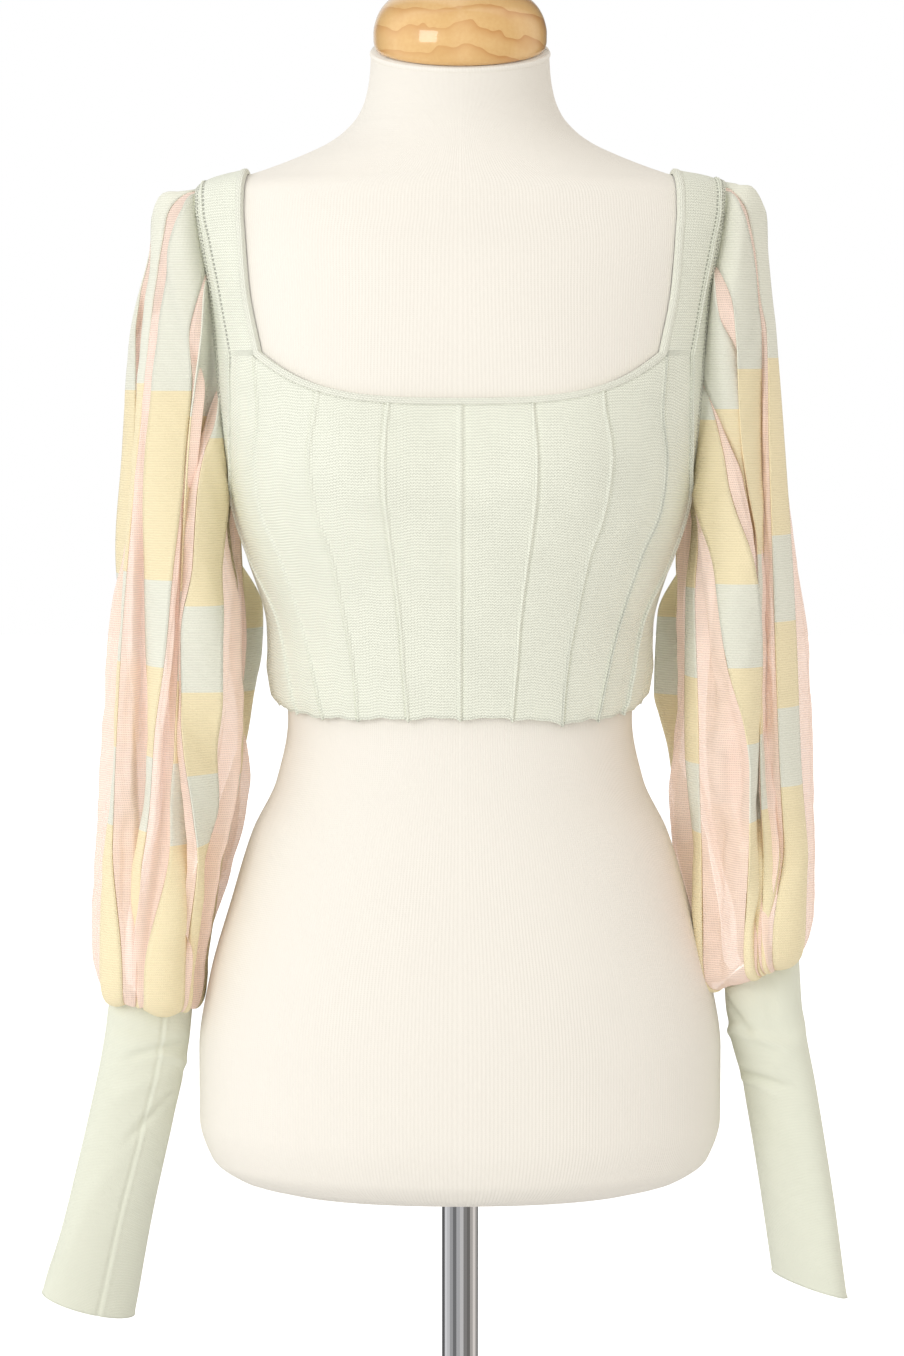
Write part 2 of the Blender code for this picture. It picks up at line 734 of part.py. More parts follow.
def free_edge(side, gore, end, height):
    """An edge of a gore where it hangs free: end is -1 before the gore and 1 after it."""
    outward, forward, turn = level_curve(SLEEVE_STATIONS[side][GORES[gore]])(height / MM)
    turn = math.radians(turn)
    half = end * GORE_WIDTH / 2
    return from_axes(
        side,
        outward * MM - math.sin(turn) * half,
        forward * MM + math.cos(turn) * half,
        height,
    )


def bulb_edge(side, insert, end, height):
    """Where a seam is on the ring of cloth that hangs round the cuff's top edge."""
    outward, forward, half_width, half_depth, turn = BULBS[side]
    place = ring_turn(insert, end) + math.radians(turn)
    return from_axes(
        side,
        (outward + half_width * math.cos(place)) * MM,
        (forward + half_depth * math.sin(place)) * MM,
        height,
    )


def ring_turn(insert, end):
    """How far round the cuff a seam is, with the gores taking up their share of it."""
    pitch = 2 * math.pi / len(GORES)
    return pitch * (insert + 0.5) + end * pitch * (1 - GORE_SHARE) / 2


def cuff_top(side, turn):
    """A point on the cuff's top edge; turn 0 is its outer side and a quarter turn its front."""
    return cuff_ring(side, CUFF_LEVELS[side][0], turn, 0.0) + Vector((0, 0, cuff_drop(side, turn)))


def cuff_drop(side, turn):
    return CUFF_TOP_SLOPE[side] * (math.cos(turn) - 1) / 2


def cuff_ring(side, level, turn, wider=0.0):
    height, outward, forward, half_width, half_depth, twist = level
    twist = math.radians(twist)
    flat = (half_width * MM + wider) * math.cos(turn - twist)
    deep = (half_depth * MM + wider) * math.sin(turn - twist)
    return from_axes(
        side,
        outward * MM + flat * math.cos(twist) - deep * math.sin(twist),
        forward * MM + flat * math.sin(twist) + deep * math.cos(twist),
        height * MM,
    )


def seam_column(side, insert, end, start):
    """One seam from its point on the armhole to the cuff; end -1 is nearer the gore before."""
    gore = insert if end < 0 else (insert + 1) % len(GORES)
    ring = ring_turn(insert, end) + math.radians(BULBS[side][4])
    edge = cuff_top(side, ring)
    turn_starts = edge.z + BULB_ABOVE_CUFF
    reach = seam_reach(side, insert)
    column = [start]
    for share in SLEEVE_ROWS[1:]:
        height = mix(start.z, turn_starts, share)
        gathered = min(1.0, max(0.0, (BULB_STARTS * MM - height) / (BULB_STARTS * MM - turn_starts)))
        hang = free_edge(side, gore, -end, height).lerp(
            bulb_edge(side, insert, end, height), gathered * gathered * (3 - 2 * gathered)
        )
        left = 1 - min(1.0, (start.z - height) / reach)
        swing = start.lerp(hang, math.sqrt(1 - left**2))
        column.append(Vector((swing.x, swing.y, height)))
    hung = column[-1]
    for share, higher in TURN_IN:
        point = hung.lerp(edge, share)
        column.append(Vector((point.x, point.y, edge.z + higher * MM)))
    return column


def between(start, finish, shares, lifts, outwards):
    """Columns between two seams; lifts push them out of the straight line along outwards."""
    columns = []
    for share, lift in zip(shares, lifts):
        column = []
        for row, (one, other) in enumerate(zip(start, finish)):
            column.append(one.lerp(other, share) + outwards[row] * lift[row])
        columns.append(column)
    return columns


def fold_height(chord, width, lifts):
    """How high an insert's folds are, so that it takes up its flat width over a chord."""
    low, high = 0.0, max(0.0, chord - TIGHT_FOLD) * STEEPEST_FOLD
    thirds = (INSERT_FOLDS[0], INSERT_FOLDS[1] - INSERT_FOLDS[0], 1 - INSERT_FOLDS[1])
    rises = (lifts[0], lifts[1] - lifts[0], lifts[1])
    for _ in range(20):
        depth = (low + high) / 2
        length = sum(math.hypot(third * chord, rise * depth) for third, rise in zip(thirds, rises))
        if length < width:
            low = depth
        else:
            high = depth
    return low


def fade_out(row, rows):
    """1 down the sleeve, and 0 where it starts and over the rows that turn in to the cuff."""
    return min(1.0, row, max(0.0, (rows - 3 - row) / 3))


def sleeve_outwards(start, finish, order):
    """Unit vectors out of the sleeve, square to the line between two seams, row by row."""
    vectors = []
    rows = len(start)
    for row in range(rows):
        low, high = min(row + 1, rows - 1), max(row - 1, 0)
        down = (start[low] + finish[low]) - (start[high] + finish[high])
        across = finish[row] - start[row]
        vectors.append(down.cross(across).normalized() * order)
    return vectors


def sleeve_strips(side):
    """Every strip of a sleeve as (name, finish, columns), round from the top gore."""
    order = -SIDES[side]
    rim = armhole_rim(side)
    tips = tip_distances(side, rim)
    whole = sum((after - before).length for before, after in zip(rim, rim[1:] + rim[:1]))
    seams = [
        [seam_column(side, insert, end, along(rim, tip + end * INSERT_TIP / 2)) for end in (-1, 1)]
        for insert, tip in enumerate(tips)
    ]
    strips = []
    for number, gore in enumerate(GORES):
        start, finish = seams[number - 1][1], seams[number][0]
        outwards = sleeve_outwards(start, finish, order)
        bow = [GORE_BOW * fade_out(row, len(start)) for row in range(len(start))]
        middle = between(start, finish, (0.5,), (bow,), outwards)[0]
        before = tips[number - 1] - (whole if number == 0 else 0)
        middle[0] = along(rim, (before + tips[number]) / 2)
        strips.append((f"sleeve_{side}_gore_{gore}", "mint", [start, middle, finish]))
        start, finish = seams[number]
        folds = insert_folds(start, finish, FOLD_LIFTS[side][number], order)
        strips.append((f"sleeve_{side}_insert_{number + 1}", "pink", [start, *folds, finish]))
    return strips


def insert_folds(start, finish, folds, order):
    """An insert's two folds between its seams."""
    outwards = sleeve_outwards(start, finish, order)
    lifts = ([], [])
    for row, (one, other) in enumerate(zip(start, finish)):
        opened = min(1.0, (start[0].z - one.z) / INSERT_OPENS)
        depth = fold_height((other - one).length, mix(INSERT_TIP, INSERT_WIDTH, opened), folds)
        for lift, fold in zip(lifts, folds):
            lift.append(depth * fold * fade_out(row, len(start)))
    return between(start, finish, INSERT_FOLDS, lifts, outwards)


def make_sleeve(side):
    strips = sleeve_strips(side)
    round_it = [column for _, _, columns in strips for column in columns[:-1]]
    layers = [wall_layer(round_it, side, out * SLEEVE_THICK / 2) for out in (1, -1)]
    place = 0
    for name, finish, columns in strips:
        last = place + len(columns)
        gaps = [seam_gaps(round_it, end % len(round_it)) for end in (place, last - 1)]
        grids = []
        for layer in layers:
            picked = [layer[i % len(layer)] for i in range(place, last)]
            grid = [[column[row] for column in picked] for row in range(len(columns[0]))]
            for row, first_gap, last_gap in zip(grid, *gaps):
                row[0] = row[0] + (row[1] - row[0]).normalized() * first_gap
                row[-1] = row[-1] + (row[-2] - row[-1]).normalized() * last_gap
            grids.append(grid)
        obj = add_wall(name, *grids, finish, split=True)
        turn_out(obj)
        place = last - 1


def seam_gaps(columns, number):
    """How far a strip stops short of a seam, row by row: further where the two meet sharply."""
    before, here, after = columns[number - 1], columns[number], columns[(number + 1) % len(columns)]
    gaps = []
    for one, middle, other in zip(before, here, after):
        wedge = (one - middle).angle(other - middle, math.pi)
        sharp = max(0.0, math.cos(wedge / 2) - 0.5)
        gaps.append(SEAM_GAP * (0.75 + 3.2 * sharp) / max(0.15, math.sin(wedge / 2)))
    return gaps


def wall_layer(columns, side, out):
    """All the sleeve's columns moved out by half the cloth, mitred where two strips meet."""
    order = -SIDES[side]
    count, rows = len(columns), len(columns[0])
    layer = []
    for number, column in enumerate(columns):
        before, after = columns[number - 1], columns[(number + 1) % count]
        moved = []
        for row, point in enumerate(column):
            down = column[min(row + 1, rows - 1)] - column[max(row - 1, 0)]
            normals = [
                down.cross(across).normalized() * order
                for across in (point - before[row], after[row] - point)
            ]
            both = normals[0] + normals[1]
            mitre = both / max(0.12, 1 + normals[0].dot(normals[1]))
            moved.append(point + mitre * out)
        layer.append(moved)
    return layer


def make_cuff(side):
    levels = CUFF_LEVELS[side]
    outer, inner = [], []
    for number, level in enumerate(levels):
        slope = 1 - min(1.0, number / 2)
        for grid, wider in ((outer, CUFF_THICK / 2), (inner, -CUFF_THICK / 2)):
            ring = []
            for step in range(CUFF_SIDES):
                turn = 2 * math.pi * step / CUFF_SIDES
                point = cuff_ring(side, level, turn, wider)
                ring.append(point + Vector((0, 0, cuff_drop(side, turn) * slope)))
            grid.append(ring)
    obj = add_wall(f"cuff_{side}", outer, inner, "mint", closed=True)
    turn_out(obj)


# ---------------------------------------------------------------- build


def clear_scene():
    for obj in list(bpy.data.objects):
        bpy.data.objects.remove(obj, do_unlink=True)


clear_scene()
PARTS = bpy.data.collections.new("sweater_on_dress_form")
bpy.context.scene.collection.children.link(PARTS)

make_stand()
make_torso()
make_neck_cap()
for panel_name in ("front", "back"):
    make_panel(panel_name)
make_neckbands()
for side_name in SIDES:
    make_sleeve(side_name)
    make_cuff(side_name)
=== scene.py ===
"""Looks of the cropped knit sweater with balloon sleeves on its limbless dress form.

Metres, +Z up. The front faces -Y and the origin is the centre of the base's underside.
The tables follow the sizes of the part's solids, in millimetres and degrees: "across" is along
X, "outward" is away from the middle plane on either side, and "forward" is towards -Y.
Every cloth piece is a grid of points with rows along it and columns across it, and carries its
own flat measure in metres in the UV map "cloth", which the knit of the materials follows.
"""

import math

import bpy
import numpy as np
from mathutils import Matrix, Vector


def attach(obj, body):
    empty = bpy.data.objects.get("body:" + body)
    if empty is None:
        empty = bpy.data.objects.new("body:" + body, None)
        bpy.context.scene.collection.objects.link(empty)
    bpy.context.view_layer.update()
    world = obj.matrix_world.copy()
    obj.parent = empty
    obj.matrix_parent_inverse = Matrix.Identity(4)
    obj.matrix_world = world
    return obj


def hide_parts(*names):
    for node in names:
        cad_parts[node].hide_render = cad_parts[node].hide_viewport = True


MM = 0.001

# ---- sizes of the dress form

# Height, half width, depth in front, depth behind, squareness of the section.
FORM_LEVELS = (
    (328, 128, 74, 88, 2.2), (334, 149, 87, 101, 2.2), (347, 166, 98, 113, 2.2),
    (374, 174, 104, 120, 2.2), (420, 174, 105, 121, 2.2), (467, 167, 103, 118, 2.2),
    (520, 152, 98, 108, 2.15), (565, 138, 92, 93, 2.1), (600, 121.5, 87, 79, 2.1),
    (640, 114, 85, 71, 2.1), (665, 115, 88, 71, 2.1), (690, 119.5, 93, 75, 2.1),
    (720, 127, 101, 81, 2.15), (750, 137, 109, 88, 2.2), (775, 144.5, 114, 93, 2.25),
    (800, 150, 117, 97, 2.3), (830, 156, 116, 100, 2.3), (860, 160, 112, 102, 2.25),
    (890, 162.5, 105, 102, 2.2), (920, 165.5, 96, 99, 2.15), (950, 170, 86, 94, 2.1),
    (962, 171.5, 80, 90, 2.05), (972, 172, 76, 88, 2.0), (981, 171, 72, 86, 2.0),
    (986.5, 168, 71, 84, 2.0), (990, 163, 70, 82, 2.0), (993, 155, 69, 81, 2.0),
    (997, 139, 68, 80, 2.0), (1003, 121, 66, 77, 2.0), (1010, 103, 65, 74, 2.0),
    (1018, 86, 63, 71, 2.0), (1026, 75, 61, 68, 2.0), (1036, 66.5, 60, 65, 2.0),
    (1048, 61.5, 58, 62, 2.0), (1062, 59, 57, 60, 2.0), (1078, 58, 56, 59, 2.0),
)
BUST_LIFT = 9 * MM
BUST_APART = 76 * MM
BUST_WIDTH = 46 * MM
BUST_HEIGHT = 812 * MM
BUST_TALL = 42 * MM
NECK_TILT = math.radians(16)
NECK_TILT_STARTS = 1030 * MM
FORM_TOP = FORM_LEVELS[-1][0] * MM

# Neck cap: radius and height above the top of the neck.
CAP_PROFILE = (
    (0, 0), (53.5, 0), (55.6, 1.6), (56.6, 6), (56.6, 11), (55, 19), (50.8, 27), (43.5, 33.5),
    (31, 39), (15, 42), (0, 42.8),
)
CAP_GAP = 0.4 * MM

# ---- sizes of the sweater

SEAM_GAP = 0.3 * MM
FORM_CLEARANCE = 2.2 * MM
BODY_THICK = 2.0 * MM
BODY_OUT = FORM_CLEARANCE + BODY_THICK
BAND_THICK = 2.6 * MM
BAND_WIDTH = 4.5 * MM
SLEEVE_THICK = 1.1 * MM
CUFF_THICK = 1.6 * MM
# Thickness of what shows, as a share of the solid's wall: panels and cuffs, and sleeves.
SHELL_SHARE = 0.8
SLEEVE_SHELL_SHARE = 0.9

HEM = 648 * MM
UNDERARM = 785 * MM
ARMHOLE_TURN = math.radians(17)
ARMHOLE_RISE = 75 * MM
NECK_CURVE = 3.3
NECK_LOW = {"front": 848.5 * MM, "back": 922 * MM}
NECK_CORNER = {"front": 879 * MM, "back": 948 * MM}
CORNER_SHARE = 0.7
# Height, how far the hem stands off the form at the sides.
HEM_FLARE = ((648, 1), (656, 7), (672, 8), (690, 4), (715, 0), (1000, 0))
# Heights between which a line up the strap reaches the shoulder's ridge.
RIDGE_SEARCH = (960, 1020)
# Strap: height, neck edge, armhole edge (both across).
STRAP_EDGES = ((878, 131, 158), (920, 139, 161.5), (950, 141.5, 166), (972, 143, 169.5), (997, 142, 169.5))

# Knitted tucks of a panel. Their lines run from the hem to the neckline, except the outermost,
# which goes up the strap: height as a share of the way from the hem to the corner of the
# neckline, then the turn from the middle of each line on one side.
TUCK_TURNS = (
    (0.0, 15.5, 32.8, 47.6, 61.5),
    (0.16, 16.3, 33.2, 50.5, 64),
    (0.3, 15.8, 33.4, 52.8, 68),
    (0.45, 15.6, 33.0, 53.6, 77),
    (0.58, 15.6, 34.6, 57.0, 80),
    (0.7, 15.3, 34.5, 55.5, 71),
    (0.86, 13.8, 31.2, 50.3, 64.3),
    (1.0, 13.2, 30.0, 51.1, 62.5),
)
TUCKS = 4
# Cloth between two tucks, on the body and on the strap.
TUCK_APART = 36 * MM
STRAP_TUCK_APART = 24 * MM
# How far over the strap the outermost tuck lies, from its start to the shoulder.
STRAP_TUCK = (0.68, 0.84)
TUCK_RISE = 1.2 * MM
TUCK_WIDTH = 0.75 * MM
TUCK_GROOVE = 0.8 * MM
# Tuck, counted from the middle, and how strongly it stands up.
TUCK_STRENGTH = ((-4, 1.3), (-3, 1.0), (-2, 0.8), (2, 1.0), (3, 1.5), (4, 2.0))
# The hem rolls out at its edge and pulls up in a point below each tuck.
HEM_EDGE = 1.6 * MM
HEM_ROLL = 0.9 * MM
HEM_POINT = 1.6 * MM
HEM_DROOP_REACH = 34 * MM
# Small waves of the hem: height in millimetres, waves in a turn, shift.
HEM_WAVES = ((0.6, 21, 1.1), (0.4, 47, 0))
# Turn from the middle, how far the hem droops there.
HEM_DROOP = (
    (-90, -3), (-75, -2), (-45, 1), (-15, -1), (0, -1.5), (20, -0.5), (32, 3), (48, 2), (62, 0),
    (90, -5),
)

# Sleeves, in the order round the arm that starts on the outside and goes by the front.
GORES = ("top", "front_high", "front_mid", "front_low", "underarm", "back_low", "back_mid", "back_high")
GORE_WIDTH = 27 * MM
# How far a gore bows out all down its length, more where it swells over the cuff, and unevenly.
GORE_BOW = 2.2 * MM
GORE_SWELL = 4.5 * MM
GORE_UNEVEN = 0.7 * MM
GORE_EDGE_ROLL = 0.5 * MM
EDGE_ROLL_WIDTH = 1.6 * MM
# An insert starts this wide at its point, and is fully open this far below it.
INSERT_TIP = 3 * MM
INSERT_OPENS = 120 * MM
INSERT_PLEAT = 0.9 * MM
# How far a fold wanders sideways, as a share of the width, how soft it is and how much deeper.
FOLD_WANDER = 0.05
FOLD_SOFTNESS = 0.7
FOLD_GAIN = 1.15
# Two folds of each insert: height, share and lift of the one, share and lift of the other.
INSERT_FOLDS = {
    "left": (
        ((920, 0.3, 1, 0.7, 0), (817, 0.35, 2, 0.7, -5), (690, 0.4, 4, 0.8, -7), (600, 0.4, 6, 0.68, -3),
         (560, 0.4, 5, 0.85, 8), (500, 0.4, 4, 0.85, 7)),
        ((896, 0.4, 1.5, 0.7, 1), (860, 0.35, -7, 0.7, -7), (744, 0.4, 2, 0.8, -8), (600, 0.3, 3, 0.65, -6),
         (560, 0.15, 8, 0.65, -3), (500, 0.15, 8, 0.7, -2)),
        ((840, 0.3, 2, 0.7, 3), (757, 0.3, 5, 0.7, 5), (650, 0.3, 3, 0.6, 5)),
        ((760, 0.4, 2, 0.7, 3), (700, 0.35, 4, 0.7, 7), (600, 0.35, -5, 0.7, 7)),
        ((760, 0.4, 2, 0.7, -3), (690, 0.3, -7, 0.65, 4), (600, 0.4, 8, 0.7, -4)),
        ((840, 0.3, -3, 0.7, 2), (700, 0.3, -7, 0.65, 4), (600, 0.4, -7, 0.7, 4)),
        ((920, 0.3, 2, 0.7, -2), (800, 0.3, 6, 0.7, -7), (600, 0.4, -8, 0.7, 5)),
        ((950, 0.3, 1, 0.7, 1), (896, 0.3, -3, 0.6, -4), (817, 0.35, -4, 0.75, -5), (757, 0.4, 1, 0.7, 1),
         (715, 0.4, 7, 0.75, 6), (626, 0.45, 10, 0.8, 4), (560, 0.4, 11, 0.8, 4)),
    ),
    "right": (
        ((920, 0.3, 1, 0.7, 0), (817, 0.4, 2, 0.7, -2), (678, 0.35, 3, 0.75, -4), (600, 0.4, 4, 0.7, -5),
         (560, 0.4, 5, 0.8, 8), (510, 0.4, 5, 0.8, 9)),
        ((900, 0.4, 1, 0.7, 1), (870, 0.4, -1, 0.7, -1), (800, 0.4, -3, 0.8, -3), (700, 0.4, -6, 0.8, 2),
         (600, 0.3, 3, 0.65, -6)),
        ((840, 0.35, 2, 0.7, 3), (797, 0.4, 4, 0.75, 3), (757, 0.35, 2, 0.7, 2), (700, 0.4, -5, 0.7, -4),
         (600, 0.3, -4, 0.6, 3)),
        ((760, 0.4, 2, 0.7, 2), (690, 0.3, 3, 0.7, -5), (612, 0.35, -7, 0.65, 3), (560, 0.3, 4, 0.7, -5)),
        ((760, 0.4, 2, 0.7, -3), (690, 0.3, -5, 0.65, 5), (590, 0.35, 10, 0.7, 5)),
        ((840, 0.3, -3, 0.7, 2), (700, 0.3, -6, 0.65, 4), (600, 0.4, -6, 0.7, 3)),
        ((920, 0.3, 2, 0.7, -2), (800, 0.3, 6, 0.7, -7), (600, 0.4, -8, 0.7, 5)),
        ((950, 0.3, 1, 0.7, 1), (860, 0.4, -3, 0.75, -2), (804, 0.4, -2, 0.75, 0), (744, 0.4, 3, 0.75, 3),
         (678, 0.4, 8, 0.75, 6), (600, 0.4, 8, 0.75, 6)),
    ),
}
BULB_STARTS = 566 * MM
BULB_ABOVE_CUFF = 20 * MM
# The way in under a bulb: how far in to the cuff's edge, and how far above it.
TURN_IN = ((0, 20), (0.12, 5), (0.55, -1.5), (1, 3.3))
# Ring at the cuff: outward, forward, half width, half depth.
BULBS = {"left": (204, 10, 33.5, 45), "right": (191.5, 18, 37.5, 42)}
# Where each gore starts and ends on that ring, 0 outward and 90 in front.
RING_TURNS = {
    "left": ((14, 60), (74, 81), (86, 134), (143, 154), (184, 216), (228, 258), (270, 298), (310, 336)),
    "right": ((20, 72), (76, 82), (84, 88), (91, 101), (160, 172), (212, 246), (262, 296), (306, 342)),
}
# How far each gore is drawn in behind that ring.
RING_SINK = {"left": (0, 7, 0, 4, 2, 0, 0, 0), "right": (0, 3, 7, 3, 4, 0, 0, 0)}
# How much higher the strap ends on the shoulder than the form alone would carry it.
SHOULDER_RISE = {"left": 2 * MM, "right": 7 * MM}
CAP_RISE = 8 * MM
# Each insert starts in a point on the armhole: height in front, height behind, reach.
TIPS = {
    "left": ((986, 993, 20), (931, 930, 60), (856, 858, 60), (793, 793, 60)),
    "right": ((988, 993, 20), (936, 934, 60), (861, 861, 60), (794, 794, 60)),
}
# Gore, height, outward, forward, facing (0 outward, 90 front, 180 body, 270 back).
SLEEVE_STATIONS = {
    "left": {
        "top": ((990, 193, 3, 30), (975, 196, 3, 26), (965, 197, 3, 24), (934, 200, 6, 15),
            (915, 203, 8, 16), (820, 211, 20, 10), (744, 217, 26, 4), (690, 221, 27, 2), (626, 225, 25, 2),
            (548, 229, 24, 4)),
        "front_high": ((975, 170, 30, 60), (951, 177, 34, 60), (930, 179.5, 38, 50), (896, 185, 44, 50),
            (860, 186, 48, 78), (817, 190, 52, 80), (744, 194.5, 52, 48), (690, 197, 50, 32),
            (626, 200.6, 46, 9), (586, 204, 42, 10), (548, 209, 38, 8)),
        "front_mid": ((930, 156, 40, 125), (896, 160, 42, 148), (860, 167, 43, 162), (840, 171, 44, 168),
            (757, 178, 42, 173), (690, 180.5, 41, 172), (626, 182, 40, 164), (586, 182, 40, 150),
            (548, 182, 43, 150)),
        "front_low": ((850, 147, 41, 135), (835, 150, 43, 135), (817, 156, 45, 134), (790, 160, 49, 136),
            (744, 163.5, 54, 140), (695, 167, 57, 98), (660, 167, 57, 97), (626, 168.5, 56, 130),
            (586, 166, 50, 146), (562, 168, 47, 168), (548, 169, 44, 176)),
        "underarm": ((770, 157, 2, 175), (720, 149, 2, 180), (625, 146, 2, 180), (548, 159, 6, 180)),
        "back_low": ((840, 162, -35, 238), (790, 160, -42, 236), (748, 150, -41, 196), (710, 139, -34, 156),
            (683, 140, -33, 154), (650, 145, -35, 164), (625, 148, -38, 180), (548, 162, -40, 232)),
        "back_mid": ((930, 166, -38, 268), (900, 172, -41, 268), (820, 191, -55, 272), (720, 188, -62, 272),
            (625, 184, -64, 268), (548, 193, -54, 272)),
        "back_high": ((985, 194, -28, 330), (958, 196, -28, 330), (930, 202, -28, 330),
            (912, 210, -19, 354), (896, 215, -14, 368), (817, 219, -12, 382), (744, 225, -14, 378),
            (690, 225, -20, 358), (625, 224, -32, 340), (548, 224, -34, 325)),
    },
    "right": {
        "top": ((990, 189, 5, 32), (970, 194, 5, 30), (946, 196.5, 9, 22), (915, 199.5, 14, 21),
            (896, 202.5, 17, 17), (820, 206, 26, 26), (744, 210, 31, 32), (678, 213, 33, 35),
            (612, 216, 33, 35), (555, 220.5, 30, 38)),
        "front_high": ((975, 172, 30, 60), (939, 181, 36, 45), (916, 185, 40, 34), (896, 186, 42, 40),
            (833, 188, 40, 35), (797, 190.5, 38.5, 25), (757, 194.5, 37, 12), (678, 196, 36, 8),
            (612, 197, 36, 8), (555, 204, 38, 30)),
        "front_mid": ((930, 152, 40, 120), (905, 157, 42, 130), (880, 166, 43, 100), (850, 174, 41, 35),
            (833, 176, 39, 18), (797, 186.5, 36, 14), (757, 190, 31, 10), (678, 186, 30, 45),
            (612, 188, 33, 76), (555, 195, 42, 84)),
        "front_low": ((850, 155, 43, 126), (820, 159, 46, 126), (797, 162, 49, 127), (784, 165, 51, 124),
            (744, 177, 57, 106), (678, 184, 58, 58), (640, 188.5, 56, 24), (612, 190, 53, 14),
            (555, 190, 50, 12)),
        "underarm": ((770, 157, 2, 175), (720, 152, 12, 172), (625, 153, 20, 165), (555, 158, 8, 174)),
        "back_low": ((840, 162, -35, 238), (790, 160, -42, 236), (740, 148, -40, 194), (707, 141, -33, 148),
            (655, 141, -32, 135), (625, 145, -38, 165), (555, 156, -39, 236)),
        "back_mid": ((930, 166, -38, 268), (900, 172, -41, 268), (820, 190, -55, 272), (720, 186, -61, 272),
            (625, 181, -62, 268), (555, 186, -54, 272)),
        "back_high": ((930, 187, -32, 300), (900, 196, -27, 322), (860, 201, -26, 330),
            (820, 205, -26, 335), (744, 213, -30, 335), (680, 218, -33, 335), (625, 219, -36, 325),
            (555, 218, -34, 322)),
    },
}
# Heights at which a gore turns from mint to yellow and back, from the top.
BLOCK_EDGES = {
    "left": {
        "top": (861, 738, 681, 625, 572), "front_high": (855, 735, 677, 619, 569.5),
        "front_mid": (840, 726, 669, 614, 560.5), "front_low": (825, 717.5, 661, 607.5, 560),
        "underarm": (822, 714, 656, 603, 556), "back_low": (820, 697, 655, 604, 556),
        "back_mid": (838, 724, 667, 612, 562), "back_high": (856, 734, 677, 620, 570),
    },
    "right": {
        "top": (876, 761, 705, 649, 598), "front_high": (871, 750.5, 693, 634, 585),
        "front_mid": (845, 738, 683, 628, 578), "front_low": (836, 731, 678, 628.5, 576),
        "underarm": (832, 726, 669, 613, 566), "back_low": (822, 704, 651, 600, 552),
        "back_mid": (844, 736, 680, 624, 574), "back_high": (870, 750, 692, 636, 586),
    },
}
# Cuff: height, outward, forward, half width, half depth, turn of the section about the vertical.
CUFF_LEVELS = {
    "left": ((459, 205, 11, 27, 19, 20), (425, 209, 11, 28, 19, 22), (375, 219, 11, 29, 18, 25),
             (310, 234, 12, 30.5, 16.5, 29), (244, 248.5, 12, 32, 16, 30)),
    "right": ((490, 200, 10, 25, 20, 35), (450, 203, 10, 26, 19, 42), (395, 213, 10, 28.5, 17.5, 50),
              (330, 224, 11, 30.5, 16.5, 54), (264, 234, 12, 32, 16, 55)),
}
CUFF_TOP_SLOPE = {"left": 10 * MM, "right": 28 * MM}
SIDES = {"left": -1, "right": 1}

# ---- camera and room

CAMERA_PLACE = (-5.3 * MM, -2.4, 0.88)
CAMERA_PITCH = math.radians(5.076)
CAMERA_LENS = 96.54
# Lights: name, place, size, watts. They look at the middle of the sweater.
LIGHTS = (("key", (-2.0, -2.2, 1.7), 1.3, 26.0), ("fill", (1.9, -2.2, 1.0), 1.8, 1.5))
LIGHTS_AIM = (0, 0, 0.75)
FLOOR_SIZE = 9.0
# Strength of the surround for what it lights and for the camera, and its warmth from +X.
SURROUND_LIGHT = 0.93
SURROUND_SEEN = 1.0
SURROUND_WARM = (0.88, 0.82, 0.75, 1)
# Brightness of the room round a polished piece, once round from behind it.
MIRROR_BANDS = (
    (0.0, 0.9), (0.06, 0.08), (0.2, 0.55), (0.27, 0.9), (0.34, 0.12), (0.4, 0.05), (0.44, 0.7), (0.5, 0.85),
    (0.55, 0.1), (0.62, 0.06), (0.68, 0.9), (0.76, 0.95), (0.8, 0.15), (0.92, 0.3), (1.0, 0.9),
)


# ---- curves and small helpers


def level_curve(rows):
    """A smooth function of height through rows of (height, value, ...), flat beyond both ends."""
    table = np.array(sorted(rows), float)
    heights, values = table[:, 0], table[:, 1:]
    steps = np.diff(values, axis=0) / np.diff(heights)[:, None]
    slopes = np.zeros_like(values)
    slopes[0], slopes[-1] = steps[0], steps[-1]
    before, after = steps[:-1], steps[1:]
    same = before * after > 0
    slopes[1:-1] = np.where(same, 2 * before * after / np.where(same, before + after, 1), 0)

    def at(height):
        height = np.clip(np.asarray(height, float), heights[0], heights[-1])
        low = np.clip(np.searchsorted(heights, height, side="right") - 1, 0, len(heights) - 2)
        span = (heights[low + 1] - heights[low])[..., None]
        t = (height - heights[low])[..., None] / span
        ease = t * t * (3 - 2 * t)
        return (
            values[low] * (1 - ease)
            + values[low + 1] * ease
            + slopes[low] * (t * (1 - t) ** 2 * span)
            - slopes[low + 1] * (t * t * (1 - t) * span)
        )

    return at


def mix(low, high, share):
    return low * (1 - share) + high * share


def smooth(t):
    t = np.clip(t, 0, 1)
    return t * t * (3 - 2 * t)


def unit(vectors):
    return vectors / np.maximum(np.linalg.norm(vectors, axis=-1, keepdims=True), 1e-12)


def signed_power(value, power):
    return np.sign(value) * np.abs(value) ** power


def hump(off, width):
    """1 where off is 0, falling away softly over this width on either side."""
    return np.exp(-((off / width) ** 2))


def together(*values):
    """Points or UV places from arrays of their separate values."""
    return np.stack(np.broadcast_arrays(*values), -1)


def ripple(seed, place):
    """Soft unevenness between about -1 and 1 along a place in metres, the same for the same seed."""
    return (
        np.sin(place * 61 + seed * 1.7)
        + 0.6 * np.sin(place * 143 + seed * 3.1 + 1)
        + 0.4 * np.sin(place * 257 + seed * 5.3 + 2)
    ) / 2


def distances(points):
    """How far along its path each point of an array (points, 3) lies."""
    steps = np.linalg.norm(np.diff(points, axis=0), axis=-1)
    return np.concatenate([[0.0], np.cumsum(steps)])


def along(points, places):
    """The points of a path at these distances along it."""
    gone = distances(points)
    return np.stack([np.interp(places, gone, points[:, axis]) for axis in range(3)], -1)


